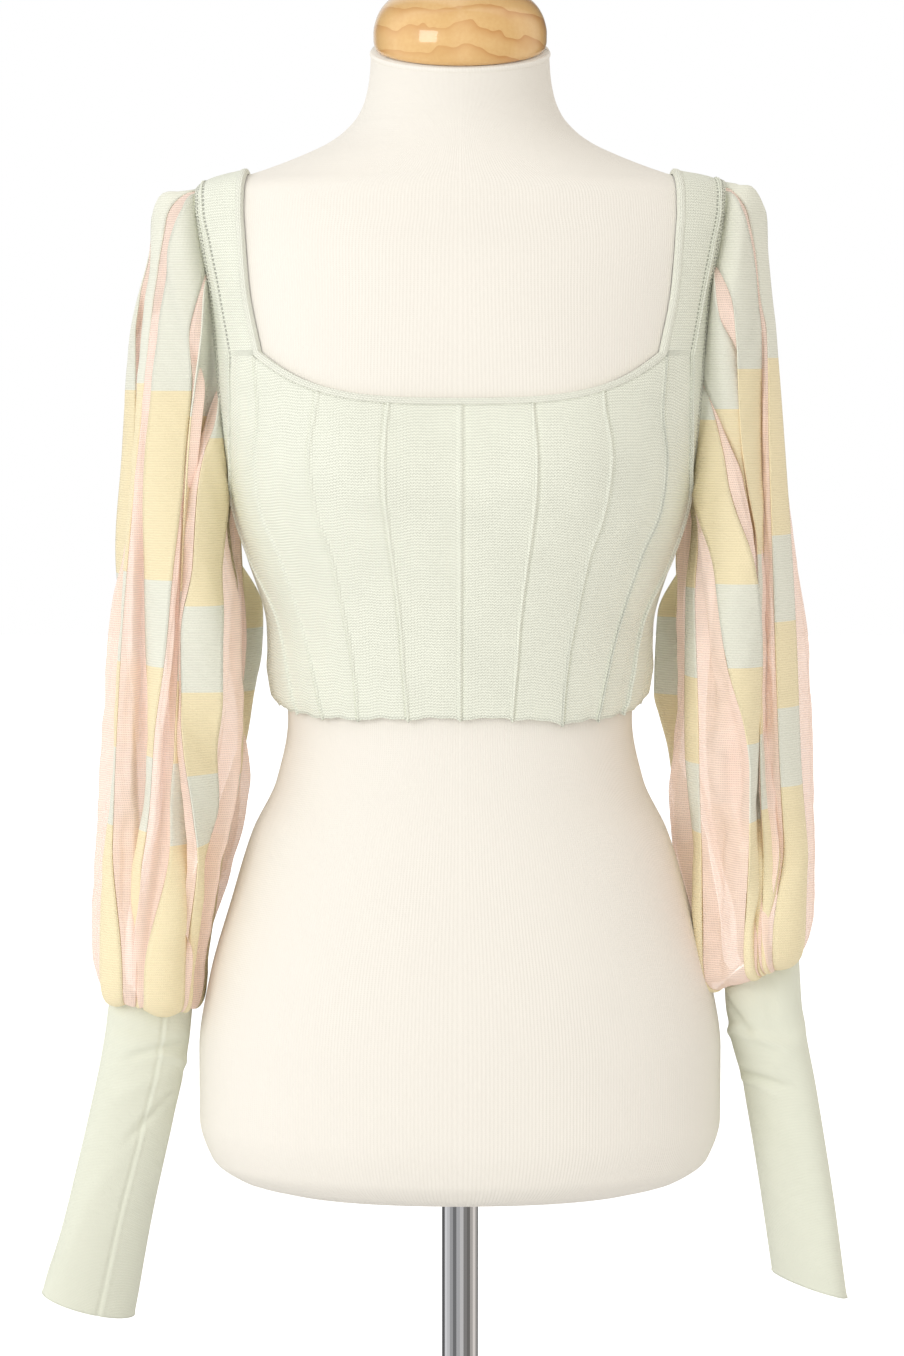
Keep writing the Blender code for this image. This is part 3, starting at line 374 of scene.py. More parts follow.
FORM = level_curve(FORM_LEVELS)
STRAP = level_curve(STRAP_EDGES)
FLARE = level_curve(HEM_FLARE)
TURNS = level_curve(TUCK_TURNS)
DROOP = level_curve(HEM_DROOP)


# ---- surface of the dress form


def form_point(height, angle):
    """Points of the form's skin: the angle is 0 in front and turns towards +X."""
    height, angle = np.broadcast_arrays(height, angle)
    half_width, front, back, squareness = np.moveaxis(FORM(height / MM), -1, 0)
    power = 2 / squareness
    across = half_width * MM * signed_power(np.sin(angle), power)
    depth = np.where(np.cos(angle) >= 0, front, back)
    forward = depth * MM * signed_power(np.cos(angle), power)
    forward = forward + bust(across, height) * np.maximum(0.0, np.cos(angle))
    tilt = np.maximum(0.0, (height - NECK_TILT_STARTS) / (FORM_TOP - NECK_TILT_STARTS))
    return np.stack([across, -forward, height - forward * math.tan(NECK_TILT) * tilt], -1)


def bust(across, height):
    """The form's plain rounded bust: two low swells that run into each other."""
    swells = [hump(across - side * BUST_APART, BUST_WIDTH) for side in (-1, 1)]
    return BUST_LIFT * hump(height - BUST_HEIGHT, BUST_TALL) * sum(swells)


def form_normal(height, angle):
    """Unit vectors out of the form's skin."""
    step = 1 * MM
    turn = math.radians(1)
    round_it = form_point(height, angle + turn) - form_point(height, angle - turn)
    up_it = form_point(height + step, angle) - form_point(height - step, angle)
    return unit(np.cross(round_it, up_it))


def angle_at(height, across):
    """The angle at which the form is this far across, 90 degrees where it is no wider."""
    levels = FORM(height / MM)
    share = np.minimum(1.0, np.abs(across) / (levels[..., 0] * MM))
    return np.sign(across) * np.arcsin(share ** (levels[..., 3] / 2))


def facing(panel, angle):
    return angle if panel == "front" else math.pi - angle


def cloth_point(panel, height, angle, out):
    """Points of the bodice's cloth, this far out of the form, with the hem's stand-off at the sides."""
    off = FLARE(height / MM)[..., 0] * MM * np.sin(angle) ** 4
    turn = facing(panel, angle)
    return form_point(height, turn) + form_normal(height, turn) * (out + off)[..., None]


def side_angle(height):
    """Where a panel ends at its side: the side seam below the underarm, the armhole above."""
    rise = np.clip((height - UNDERARM) / ARMHOLE_RISE, 0.0, 1.0)
    return math.pi / 2 - ARMHOLE_TURN * np.sqrt(1 - (1 - rise) ** 2)


# ---- making meshes


def add_mesh(name, points, faces, material, flat=None, wraps=None, seams=None):
    """A smooth mesh object; flat is a UV place for each point, wraps the distance round a tube's cloth.

    seams is two more UV places for each point: its distances from two lines of stitches, and
    from two tucks, beside which shade is painted in the creases.
    """
    mesh = bpy.data.meshes.new(name)
    points = np.asarray(points, float).reshape(-1, 3)
    mesh.from_pydata(points.tolist(), [], [list(map(int, face)) for face in faces])
    mesh.materials.append(material)
    maps = {} if flat is None else {"cloth": np.asarray(flat, np.float32).reshape(-1, 2)}
    if seams is not None:
        maps.update(seams=seams[:, :2], creases=seams[:, 2:])
    corners = np.zeros(len(mesh.loops), np.int32)
    mesh.loops.foreach_get("vertex_index", corners)
    for key, places in maps.items():
        places = np.asarray(places, np.float32)[corners]
        if wraps:
            unwrap(mesh, places, wraps)
        mesh.uv_layers.new(name=key).uv.foreach_set("vector", places.ravel())
    mesh.shade_smooth()
    mesh.validate()
    return add_object(name, mesh)


def unwrap(mesh, places, wraps):
    """Keeps each face's UV places together where the cloth comes round to its start."""
    starts, counts = (np.zeros(len(mesh.polygons), np.int32) for _ in range(2))
    mesh.polygons.foreach_get("loop_start", starts)
    mesh.polygons.foreach_get("loop_total", counts)
    first = np.repeat(places[starts, 0], counts)
    places[:, 0] -= np.round((places[:, 0] - first) / wraps) * wraps


def add_object(name, data):
    obj = bpy.data.objects.new(name, data)
    LOOKS.objects.link(obj)
    return obj


def grid_faces(rows, columns, closed=False):
    """Quads of a grid of points laid out row by row; closed joins each row's ends."""
    index = np.arange(rows * columns).reshape(rows, columns)
    return index_faces(np.concatenate([index, index[:, :1]], 1) if closed else index)


def index_faces(index):
    """Quads between the points whose numbers are laid out in these rows."""
    corners = (index[:-1, :-1], index[:-1, 1:], index[1:, 1:], index[1:, :-1])
    return np.stack(corners, -1).reshape(-1, 4)


def seam_distances(flat, places):
    """Distances along a panel's rows: in from its armhole edge, and out from its last three tucks."""
    across = flat[..., 0]
    outwards = []
    for line in (TUCKS + 1, TUCKS, TUCKS - 1, TUCKS - 2):
        left, right = (across[:, np.argmin(np.abs(places - sign * line)), None] for sign in (-1, 1))
        outwards.append(np.where(places > 0, across - right, left - across))
    far = np.abs(places) < TUCKS - 1.2
    edge, last, third, second = outwards
    return np.stack([np.where(far, 1.0, -edge), np.where(far, 1.0, last), third, second], -1).reshape(-1, 4)


def flat_measure(grid):
    """UV places of a grid (rows, columns, 3): how far across and how far along it each point is."""
    across = np.linalg.norm(np.diff(grid, axis=1), axis=-1)
    across = np.concatenate([np.zeros((len(grid), 1)), np.cumsum(across, 1)], 1)
    across = across - across.mean(1, keepdims=True)
    down = np.linalg.norm(np.diff(grid, axis=0), axis=-1)
    down = np.concatenate([np.zeros((1, grid.shape[1])), np.cumsum(down, 0)], 0)
    return np.stack([across, down], -1)


def hanging_measure(grid):
    """Like flat_measure for a hanging strip, with its courses level until it turns in at the cuff."""
    flat = flat_measure(grid)
    turned = flat[SLEEVE_ROWS:, :, 1] - flat[SLEEVE_ROWS - 1, :, 1]
    flat[:SLEEVE_ROWS, :, 1] = -grid[:SLEEVE_ROWS, :, 2]
    flat[SLEEVE_ROWS:, :, 1] = flat[SLEEVE_ROWS - 1, :, 1] + turned
    return flat


def wall(obj, thick, offset=0.0):
    """Gives a cloth grid its thickness; offset -1 keeps the grid as the outer face."""
    solid = obj.modifiers.new("thickness", "SOLIDIFY")
    solid.thickness = thick
    solid.offset = offset
    solid.use_even_offset = False


def turned_out(faces, order):
    """The faces as they are, or turned over where order is below 0."""
    return faces if order > 0 else faces[:, ::-1]


def mesh_area(obj):
    return sum(polygon.area for polygon in obj.data.polygons)


# ---- materials

BLACK = (0, 0, 0, 1)
# How far each stitch's arch reaches, as a share of a course.
ARCH_SHARE = 0.35
# Brightness of the stitches' holes, and of the painted shade in the creases beside tucks.
MARK_SHADE = 0.72
CREASE_SHADE = 0.7
# How much the sheer knit covers between its courses and on them.
SHEER_COVER = (0.62, 0.86)


class Nodes:
    """Builds the node tree of a material or a world; a call for a value gives back its output socket."""

    def __init__(self, owner):
        owner.use_nodes = True
        self.owner = owner
        self.tree = owner.node_tree
        self.shader = self.tree.nodes.get("Principled BSDF") or self.tree.nodes["Background"]

    def node(self, kind, inputs=(), **settings):
        made = self.tree.nodes.new(kind)
        for key, value in settings.items():
            setattr(made, key, value)
        for key, value in dict(inputs).items():
            self.feed(made.inputs[key], value)
        return made

    def feed(self, socket, value):
        if isinstance(value, bpy.types.NodeSocket):
            self.tree.links.new(value, socket)
        else:
            socket.default_value = value

    def math(self, operation, *values, **settings):
        return self.node("ShaderNodeMath", enumerate(values), operation=operation, **settings).outputs[0]

    def product(self, first, *others):
        for other in others:
            first = self.math("MULTIPLY", first, other)
        return first

    def split(self, place):
        return self.node("ShaderNodeSeparateXYZ", {0: place}).outputs

    def uv_place(self, layer="cloth"):
        """The two values of a UV map; those of "cloth" are (across, along) in metres."""
        return self.split(self.node("ShaderNodeUVMap", uv_map=layer).outputs[0])[:2]

    def object_place(self):
        return self.node("ShaderNodeTexCoord").outputs["Object"]

    def scaled_place(self, *scale, **inputs):
        made = self.node("ShaderNodeMapping", {"Vector": self.object_place(), "Scale": scale, **inputs})
        return made.outputs[0]

    def noise(self, place, scale, detail):
        made = self.node("ShaderNodeTexNoise", {"Vector": place, "Scale": scale, "Detail": detail})
        return made.outputs["Fac"]

    def wave(self, place, pitch, shift=0.0):
        """0 to 1 and back once in each pitch of a place in metres."""
        turn = self.math("MULTIPLY_ADD", place, 2 * math.pi / pitch, shift)
        return self.math("MULTIPLY_ADD", self.math("SINE", turn), 0.5, 0.5)

    def blend(self, share, first, second):
        return self.node("ShaderNodeMix", {0: share, 6: first, 7: second}, data_type="RGBA").outputs[2]

    def mix(self, share, first, second):
        return self.node("ShaderNodeMix", {0: share, 2: first, 3: second}).outputs[0]

    def range(self, value, low, high, to_low=0.0, to_high=1.0):
        return self.node("ShaderNodeMapRange", {"Value": value, "From Min": low, "From Max": high,
                                                "To Min": to_low, "To Max": to_high}).outputs[0]

    def line(self, place, middle, core, reach):
        """1 along a line at this distance from where a place is 0, fading out sideways."""
        apart = self.math("ABSOLUTE", self.math("SUBTRACT", place, middle))
        return self.range(apart, core, reach, 1.0, 0.0)

    def ramp(self, value, stops, interpolation="LINEAR"):
        """A colour through these (place, colour) stops, the first of them at 0."""
        made = self.node("ShaderNodeValToRGB", {"Fac": value})
        made.color_ramp.interpolation = interpolation
        elements = made.color_ramp.elements
        elements.remove(elements[1])
        elements[0].color = stops[0][1]
        for place, tone in stops[1:]:
            elements.new(place).color = tone
        return made.outputs[0]

    def bands(self, edges, tones):
        """Blocks of two colours that change at these heights in millimetres, the first at the top."""
        low, high = 0.4, 1.0
        edges = sorted(edges)
        places = [0.0] + [(edge * MM - low) / (high - low) for edge in edges]
        stops = [(place, tones[(len(edges) - number) % 2]) for number, place in enumerate(places)]
        return self.ramp(self.range(self.split(self.object_place())[2], low, high), stops, "CONSTANT")

    def bump(self, height, depth, strength=1.0):
        made = self.node("ShaderNodeBump", {"Height": height, "Distance": depth, "Strength": strength})
        self.set(Normal=made.outputs[0])

    def set(self, **values):
        for key, value in values.items():
            self.feed(self.shader.inputs[key.replace("_", " ")], value)


def colour(red, green, blue):
    """Linear colour from display values 0 to 255."""
    shares = (red / 255, green / 255, blue / 255)
    return tuple(c / 12.92 if c <= 0.04045 else ((c + 0.055) / 1.055) ** 2.4 for c in shares) + (1.0,)


def new_material(name):
    return Nodes(bpy.data.materials.new(name))


def stitch_marks(nodes, down):
    """1 on the chain of stitches along an armhole and on the small holes beside the last tuck."""
    edge, tuck = nodes.uv_place("seams")
    high = nodes.split(nodes.object_place())[2]
    marks = 0.0
    # How far off the edge or tuck and how far apart the marks are, in millimetres, and their lowest place.
    rows = ((edge, 2.6, 2.4, 0.7), (edge, 5.2, 2.9, 0.8), (tuck, 2.9, 3.0, 0.74), (tuck, -2.6, 3.0, 0.86))
    for place, off, pitch, low in rows:
        line = nodes.line(place, off * MM, 0.3 * MM, 0.95 * MM)
        dots = nodes.range(nodes.wave(down, pitch * MM, off), 0.35, 0.75)
        marks = nodes.math("MAXIMUM", nodes.product(line, dots, nodes.range(high, low, low + 0.03)), marks)
    return marks


def painted_tuck_crease_shade(nodes):
    """Painted shade: 1 in the crease beside the third tuck on the side of +X, and low down beside the
    second, where light from -X leaves the creases in shadow.
    """
    outer, inner = nodes.uv_place("creases")
    across, _, high = nodes.split(nodes.object_place())
    lines = [nodes.product(nodes.line(off, -1.0 * MM, 0.25 * MM, 1.0 * MM), strong)
             for off, strong in ((outer, 1.0), (inner, nodes.range(high, 0.66, 0.8, 0.9, 0.15)))]
    return nodes.product(nodes.math("MAXIMUM", *lines), nodes.range(across, -0.01, 0.02))


def knit_material(name, tone, course, wale, depth, groove_shade_and_speckle=0.05, blocks=None, stitched=False):
    """Plain fine knit: courses across the cloth, with the stitches of each one as small arches.

    blocks gives the heights, from the top, at which its colour turns from mint to yellow and back.
    """
    nodes = new_material(name)
    if blocks:
        tone = nodes.bands(blocks, (MINT, YELLOW))
    across, down = nodes.uv_place()
    arch = nodes.wave(across, wale)
    row = nodes.wave(nodes.math("MULTIPLY_ADD", arch, course * ARCH_SHARE, down), course)
    height = nodes.product(nodes.math("POWER", row, 0.7), nodes.range(arch, 0, 1, 0.75, 1.0))
    uneven = nodes.noise(nodes.object_place(), 38.0, 3.0)
    fuzz = nodes.noise(nodes.object_place(), 900.0, 2.0)
    # Painted shade in the grooves between the courses, and random unevenness of tone; one argument sets how
    # dark both get.
    shade = nodes.product(nodes.range(height, 0, 0.75, 1 - 2.4 * groove_shade_and_speckle, 1.0),
                          nodes.range(uneven, 0.3, 0.7, 1 - groove_shade_and_speckle * 0.6, 1.0))
    if stitched:
        marks = stitch_marks(nodes, down)
        height = nodes.math("MULTIPLY_ADD", marks, -3.0, height)
        # The stitches' holes darken the cloth, and painted shade darkens the creases beside the outer tucks
        # on the side of +X.
        shade = nodes.product(shade, nodes.range(marks, 0, 1, 1.0, MARK_SHADE),
                              nodes.range(painted_tuck_crease_shade(nodes), 0, 1, 1.0, CREASE_SHADE))
    nodes.set(Base_Color=nodes.blend(shade, BLACK, tone), Roughness=0.92, Sheen_Weight=0.12,
              Sheen_Roughness=0.5, Specular_IOR_Level=0.25)
    nodes.bump(nodes.math("MULTIPLY_ADD", fuzz, 0.25, height), depth)
    return nodes.owner


def gore_material(side, gore):
    blocks = BLOCK_EDGES[side][gore]
    return knit_material(f"gore_{side}_{gore}", MINT, 1.6 * MM, 1.3 * MM, 0.3 * MM, 0.035, blocks)


def sheer_material(name, tone, course, wale):
    """Open knit that the light shows through, thin between its courses."""
    nodes = new_material(name)
    across, down = nodes.uv_place()
    row = nodes.wave(down, course)
    stitch = nodes.wave(across, wale)
    yarn = nodes.math("MAXIMUM", nodes.math("POWER", row, 0.8), nodes.product(stitch, 0.8))
    uneven = nodes.noise(nodes.object_place(), 60.0, 3.0)
    cover = nodes.range(yarn, 0.1, 0.9, *SHEER_COVER)
    cover = nodes.product(cover, nodes.range(uneven, 0.3, 0.75, 0.86, 1.0))
    shade = nodes.range(yarn, 0, 1, 0.96, 1.0)
    # A faint painted glow in the sheer's own colour brightens it, standing in for light that comes through
    # the cloth.
    nodes.set(Base_Color=nodes.blend(shade, BLACK, tone), Roughness=0.85, Alpha=cover,
              Sheen_Weight=0.15, Specular_IOR_Level=0.2, Emission_Color=tone, Emission_Strength=0.13)
    nodes.bump(yarn, 0.25 * MM)
    return nodes.owner


def jersey_material():
    """The form's cream cover: jersey with fine upright ribs."""
    nodes = new_material("form_jersey")
    across, down = nodes.uv_place()
    rib = nodes.wave(across, 2.0 * MM)
    course = nodes.wave(down, 1.3 * MM)
    height = nodes.math("MULTIPLY_ADD", course, 0.25, rib)
    uneven = nodes.noise(nodes.object_place(), 14.0, 3.0)
    shade = nodes.product(nodes.range(rib, 0, 1, 0.975, 1.0), nodes.range(uneven, 0.3, 0.7, 0.985, 1.0))
    nodes.set(Base_Color=nodes.blend(shade, BLACK, CREAM), Roughness=0.9, Sheen_Weight=0.08,
              Specular_IOR_Level=0.25)
    nodes.bump(height, 0.12 * MM)
    return nodes.owner


def pine_material():
    """Lacquered pine: pale wood with brown growth rings cut at a slant."""
    nodes = new_material("cap_pine")
    place = nodes.scaled_place(1.0, 0.16, 1.0, Location=(0.09, 0.03, 0.35), Rotation=(0.5, 0.25, 0.2))
    warp = nodes.noise(place, 9.0, 2.0)
    rings = nodes.node("ShaderNodeTexWave", {"Vector": place, "Scale": 26.0, "Distortion": 6.5,
                                             "Detail": 2.0, "Detail Scale": 1.4},
                       wave_type="RINGS", rings_direction="Y", wave_profile="SAW")
    grain = nodes.noise(nodes.scaled_place(1.0, 0.1, 1.0), 420.0, 3.0)
    late = nodes.math("POWER", rings.outputs["Fac"], 3.2)
    late = nodes.product(late, nodes.range(warp, 0.3, 0.7, 0.35, 1.0))
    wood = nodes.blend(late, colour(234, 192, 128), colour(198, 130, 62))
    wood = nodes.blend(nodes.range(grain, 0.35, 0.75, 0.0, 0.35), wood, colour(222, 168, 100))
    nodes.set(Base_Color=wood, Roughness=0.32, Coat_Weight=1.0, Coat_Roughness=0.06, Coat_IOR=1.5)
    nodes.bump(late, 0.05 * MM, 0.3)
    return nodes.owner


def metal_material(name, tone, roughness, brushed=0.0):
    nodes = new_material(name)
    rubbed = nodes.noise(nodes.scaled_place(1.0, 1.0, 0.03), 300.0, 2.0)
    nodes.set(Base_Color=tone, Metallic=1.0,
              Roughness=nodes.range(rubbed, 0.3, 0.7, roughness, roughness + brushed + 0.03))
    return nodes.owner


# ---- dress form

# Heights of the cover's rows: from, to, how many.
FORM_ROWS = ((328, 374, 26), (374, 960, 190), (960, 1078, 110))
FORM_SIDES = 220
# Radius at which the cover's knit is measured flat, on the body and at the neck.
FORM_RADIUS = 150 * MM
RIM_RADIUS = 58 * MM
RIM_SIDES = 160
# The rolled rim: how far below the top and in from the skin its middle is, and its half sizes.
RIM_DROP = 2.2 * MM
RIM_INSET = 1.0 * MM
RIM_WIDE = 1.9 * MM
RIM_TALL = 2.1 * MM
CAP_SIDES = 128


def circle(sides):
    return np.arange(sides) * 2 * math.pi / sides


def make_form():
    """The padded torso's jersey skin, finer than its solid, closed below and at the neck."""
    heights = np.unique(np.concatenate([np.linspace(*rows) for rows in FORM_ROWS])) * MM
    angles = circle(FORM_SIDES)
    grid = form_point(heights[:, None], angles[None, :])
    flat = together(angles[None, :] * FORM_RADIUS, heights[:, None])
    faces = list(grid_faces(len(heights), FORM_SIDES, closed=True))
    top = (len(heights) - 1) * FORM_SIDES
    faces.append(list(range(FORM_SIDES))[::-1])
    faces.append(list(range(top, top + FORM_SIDES)))
    skin = add_mesh("form_cover", grid, faces, JERSEY, flat, 2 * math.pi * FORM_RADIUS)
    finish_piece(skin, ["form_torso"])


def make_neck_rim():
    """The rolled edge of the jersey round the top of the neck."""
    turns = circle(RIM_SIDES)
    height = np.full(RIM_SIDES, FORM_TOP - RIM_DROP)
    rim, out = form_point(height, turns), form_normal(height, turns)
    up = np.array([0, -math.sin(NECK_TILT), math.cos(NECK_TILT)])
    bends = np.linspace(-0.75, 1.15, 9) * math.pi / 2
    edge = rim - out * RIM_INSET
    grid = np.stack([edge + out * math.cos(bend) * RIM_WIDE + up * math.sin(bend) * RIM_TALL
                     for bend in bends])
    flat = together(turns[None, :] * RIM_RADIUS, bends[:, None] * 2 * MM)
    faces = grid_faces(len(bends), RIM_SIDES, closed=True)
    edging = add_mesh("form_neck_rim", grid, faces, JERSEY, flat, 2 * math.pi * RIM_RADIUS)
    finish_piece(edging)


def make_cap():
    """The turned pine cap, its profile rounded through the solid's points."""
    middle = (form_point(FORM_TOP, 0.0) + form_point(FORM_TOP, math.pi)) / 2
    profile = np.array(CAP_PROFILE, float)
    gone = distances(profile)
    curve = level_curve([(g, *p) for g, p in zip(gone, profile)])
    steps = np.concatenate([np.linspace(0, gone[1], 6)[:-1], np.linspace(gone[1], gone[-1], 60)])
    radius, high = np.hsplit(curve(steps) * MM, 2)
    turns = circle(CAP_SIDES)
    grid = together(radius * np.cos(turns), radius * np.sin(turns), high)
    tilt = np.array([[1, 0, 0], [0, math.cos(NECK_TILT), -math.sin(NECK_TILT)],
                     [0, math.sin(NECK_TILT), math.cos(NECK_TILT)]])
    grid = (grid + np.array([0, 0, CAP_GAP])) @ tilt.T + middle
    cap = add_mesh("neck_cap_turned", grid, grid_faces(len(steps), CAP_SIDES, closed=True), PINE)
    weld = cap.modifiers.new("poles", "WELD")
    weld.merge_threshold = 0.01 * MM
    finish_piece(cap, ["neck_cap"])


# ---- bodice


def spread_columns():
    """Columns of half a panel as shares between the tucks, close together on each tuck."""
    span = TUCK_APART / MM
    near = np.array([-3.2, -2.2, -1.5, -1.0, -0.6, -0.3, 0, 0.3, 0.6, 1.0, 1.4, 1.8, 2.3, 3.0, 4.0]) / span
    between = np.linspace(near[-1], 1 + near[0], 11)[1:-1]
    places = [near[near >= 0]]
    for tuck in range(TUCKS + 1):
        places.append(tuck + between)
        places.append(tuck + 1 + (near if tuck < TUCKS else near[near <= 0]))
    return np.unique(np.round(np.concatenate(places), 6))


def column_angle(panel, height, place):
    """The angle of a column at a height; whole places are the middle, the tucks and the side."""
    share = np.clip((height - HEM) / (NECK_CORNER[panel] - HEM), 0, 1)
    turns = np.radians(TURNS(share))
    lines = np.stack([np.zeros_like(share), *np.moveaxis(turns, -1, 0), side_angle(height)])
    size = np.abs(place)
    low = np.clip(np.floor(size).astype(int), 0, TUCKS)
    first, second = (np.take_along_axis(lines, low[None] + step, 0)[0] for step in (0, 1))
    return np.sign(place) * mix(first, second, size - low)


def neckline_height(panel, angle):
    """The neckline's height at an angle: low in the middle, steep towards its corners."""
    corner = side_angle(NECK_CORNER[panel]) * CORNER_SHARE
    share = np.minimum(1.0, np.sin(np.abs(angle)) / math.sin(corner))
    return mix(NECK_LOW[panel], NECK_CORNER[panel], share**NECK_CURVE)


def top_of_column(panel, place):
    """The height at which a column meets the neckline, or the strap's start beyond its corner."""
    corner = NECK_CORNER[panel]
    height = np.full(place.shape, corner)
    for _ in range(12):
        neckline = neckline_height(panel, column_angle(panel, height, place))
        height = np.where(np.abs(place) < TUCKS - 1, neckline, corner)
    return height


def strap_share(place):
    """How far over the strap a column lies, from its neck edge, at the strap's start and its end."""
    size = np.abs(place) - (TUCKS - 1)
    return [np.where(size < 1, size * tuck, mix(tuck, 1.0, size - 1)) for tuck in STRAP_TUCK]


def strap_across(height, share):
    edges = STRAP(height / MM) * MM
    return mix(edges[..., 0], edges[..., 1], share)


def ridge_height(share):
    """The height at which a line along the strap reaches the shoulder's ridge."""
    low, high = (np.full(share.shape, end * MM) for end in RIDGE_SEARCH)
    for _ in range(40):
        middle = (low + high) / 2
        wide = FORM(middle / MM)[..., 0] * MM > strap_across(middle, share)
        low, high = np.where(wide, middle, low), np.where(wide, high, middle)
    return low


def strap_places(panel, places, ways):
    """(height, angle) arrays of the strap's rows, from its start to the shoulder's ridge."""
    start_share, end_share = strap_share(places)
    corner = NECK_CORNER[panel]
    top = ridge_height(end_share)
    start_height = np.full(places.shape, corner)
    start = np.abs(form_point(start_height, column_angle(panel, start_height, places))[..., 0])
    slip = start - strap_across(start_height, start_share)
    left = (1 - ways[:, None]) ** 2
    share = mix(end_share, start_share, left)
    height = top - (top - corner) * left
    across = strap_across(height, share) + slip * left
    angle = np.where(ways[:, None] >= 1, math.pi / 2, angle_at(height, across))
    return height, np.sign(places) * angle


def shoulder_rise(places, ways):
    """How far a strap is lifted at each of its rows, more towards its armhole edge."""
    share = np.clip(np.abs(places) - (TUCKS - 1), 0, 2) / 2
    rise = SHOULDER_RISE["right" if places[0] > 0 else "left"]
    return rise * share**1.5 * ways[:, None] ** 2


# Cut of a panel, width and length over the shoulder.
BODY_ROWS = 58
CHEST_ROWS = 34
STRAP_ROWS = 60


def panel_grid(panel, places):
    """(height, angle) arrays of the body block's rows, from the hem to the neckline."""
    top = top_of_column(panel, places)
    low = np.linspace(HEM, UNDERARM, BODY_ROWS)[:, None] + 0 * top
    shares = np.linspace(0, 1, CHEST_ROWS + 1)[1:, None]
    heights = np.concatenate([low, mix(UNDERARM, top, shares)])
    return heights, column_angle(panel, heights, np.broadcast_to(places, heights.shape))


def tuck_lift(places, size):
    """Height of the tucks' ridges over the cloth at a column; size is the cloth between two tucks."""
    nearest = np.round(places)
    off = (places - nearest) * size
    outer = off * np.where(nearest == 0, 1, np.sign(nearest))
    ridge = TUCK_RISE * hump(outer, TUCK_WIDTH)
    groove = TUCK_GROOVE * hump(outer - 2.0 * TUCK_WIDTH, TUCK_WIDTH)
    strength = np.interp(nearest, *np.transpose(TUCK_STRENGTH))
    return np.where(np.abs(nearest) <= TUCKS, (ridge - groove) * strength, 0)


def hem_fall(panel, heights, angles, places):
    """How far the cloth comes down near the hem: its droop, small waves and points below the tucks."""
    mirrored = 1 if panel == "front" else -1
    droop = DROOP(np.degrees(angles) * mirrored)[..., 0] * MM
    wave = sum(size * MM * np.sin(angles * count + shift) for size, count, shift in HEM_WAVES)
    point = HEM_POINT * hump((places - np.round(places)) * TUCK_APART, HEM_EDGE)
    return hump(heights - HEM, HEM_DROOP_REACH) * (droop + wave) + hump(heights - HEM, HEM_EDGE) * point


def strap_grid(panel, places):
    """A strap's cloth from its start to the shoulder's ridge; only the outermost tuck goes up it."""
    ways = np.linspace(0, 1, STRAP_ROWS + 1)[1:]
    high, turn = strap_places(panel, places, ways)
    lift = tuck_lift(np.broadcast_to(places, high.shape), STRAP_TUCK_APART)
    fade = np.clip((1 - ways[:, None]) * 12, 0, 1)
    lift = np.where(np.abs(np.round(places)) == TUCKS, lift, 0) * fade
    strap = cloth_point(panel, high, turn, BODY_OUT + lift)
    strap[..., 2] += shoulder_rise(places, ways)
    return strap


def make_panel(panel):
    """Front or back of the bodice: a body block up to the neckline and its two straps."""
    half = spread_columns()
    places = np.concatenate([-half[:0:-1], half])
    heights, angles = panel_grid(panel, places)
    grid_places = np.broadcast_to(places, heights.shape)
    out = BODY_OUT + tuck_lift(grid_places, TUCK_APART)
    body = cloth_point(panel, heights, angles, out + HEM_ROLL * hump(heights - HEM, HEM_EDGE))
    body[..., 2] -= hem_fall(panel, heights, angles, grid_places)
    flat = flat_measure(body)
    index = np.arange(len(body) * len(places)).reshape(len(body), -1)
    points, flats = [body.reshape(-1, 3)], [flat.reshape(-1, 2)]
    faces, seams = [index_faces(index)], [seam_distances(flat, places)]
    for sign in (-1, 1):
        picked = np.flatnonzero(places * sign >= TUCKS - 1 - 1e-9)
        strap = strap_grid(panel, places[picked])
        measure = flat_measure(np.concatenate([body[-1:, picked], strap]))
        seams.append(seam_distances(measure, places[picked])[len(picked) :])
        measure += flat[-1, picked].mean(0)
        start = sum(map(len, points))
        above = np.arange(start, start + strap.shape[0] * len(picked)).reshape(len(strap), -1)
        points.append(strap.reshape(-1, 3))
        flats.append(measure[1:].reshape(-1, 2))
        faces.append(index_faces(np.concatenate([index[-1:, picked], above])))
    faces = turned_out(np.concatenate(faces), 1 if panel == "front" else -1)
    obj = add_mesh(f"{panel}_panel", np.concatenate(points), faces, MINT_BODY, np.concatenate(flats),
                   seams=np.concatenate(seams))
    wall(obj, BODY_THICK * SHELL_SHARE, -1)
    finish_piece(obj, [f"{panel}_body"])


# ---- neckbands

# Height of the edge that the bands roll round, over the form.
BAND_EDGE_OUT = FORM_CLEARANCE + BODY_THICK * 0.75
# How far a band is tucked under the panel, stands over that edge and ends over the form.
BAND_TUCKED = 0.9 * MM
BAND_HIGH = BAND_THICK * 0.42
BAND_OVER_FORM = 0.7 * MM


def band_grid(edge, normals):
    """A narrow rolled band along an edge, half round, from behind the edge down to the form."""
    inner = unit(np.cross(normals, np.gradient(edge, axis=0)))
    turns = np.linspace(-0.12, 1.12, 9) * math.pi
    lifts = [-BAND_TUCKED, *(BAND_HIGH * np.sin(turns[1:-1]) ** 0.8), BAND_OVER_FORM - BAND_EDGE_OUT]
    sides = SEAM_GAP * -1.5 + (BAND_WIDTH + SEAM_GAP) * (0.5 - 0.5 * np.cos(turns))
    return np.stack([edge + inner * side + normals * lift for side, lift in zip(sides, lifts)])


def neckline_edge(panel, order):
    """(heights, angles) along the neckline, towards +X where order is 1."""
    places = order * np.linspace(1 - TUCKS, TUCKS - 1, 190)
    top = top_of_column(panel, places)
    return top, column_angle(panel, top, places)


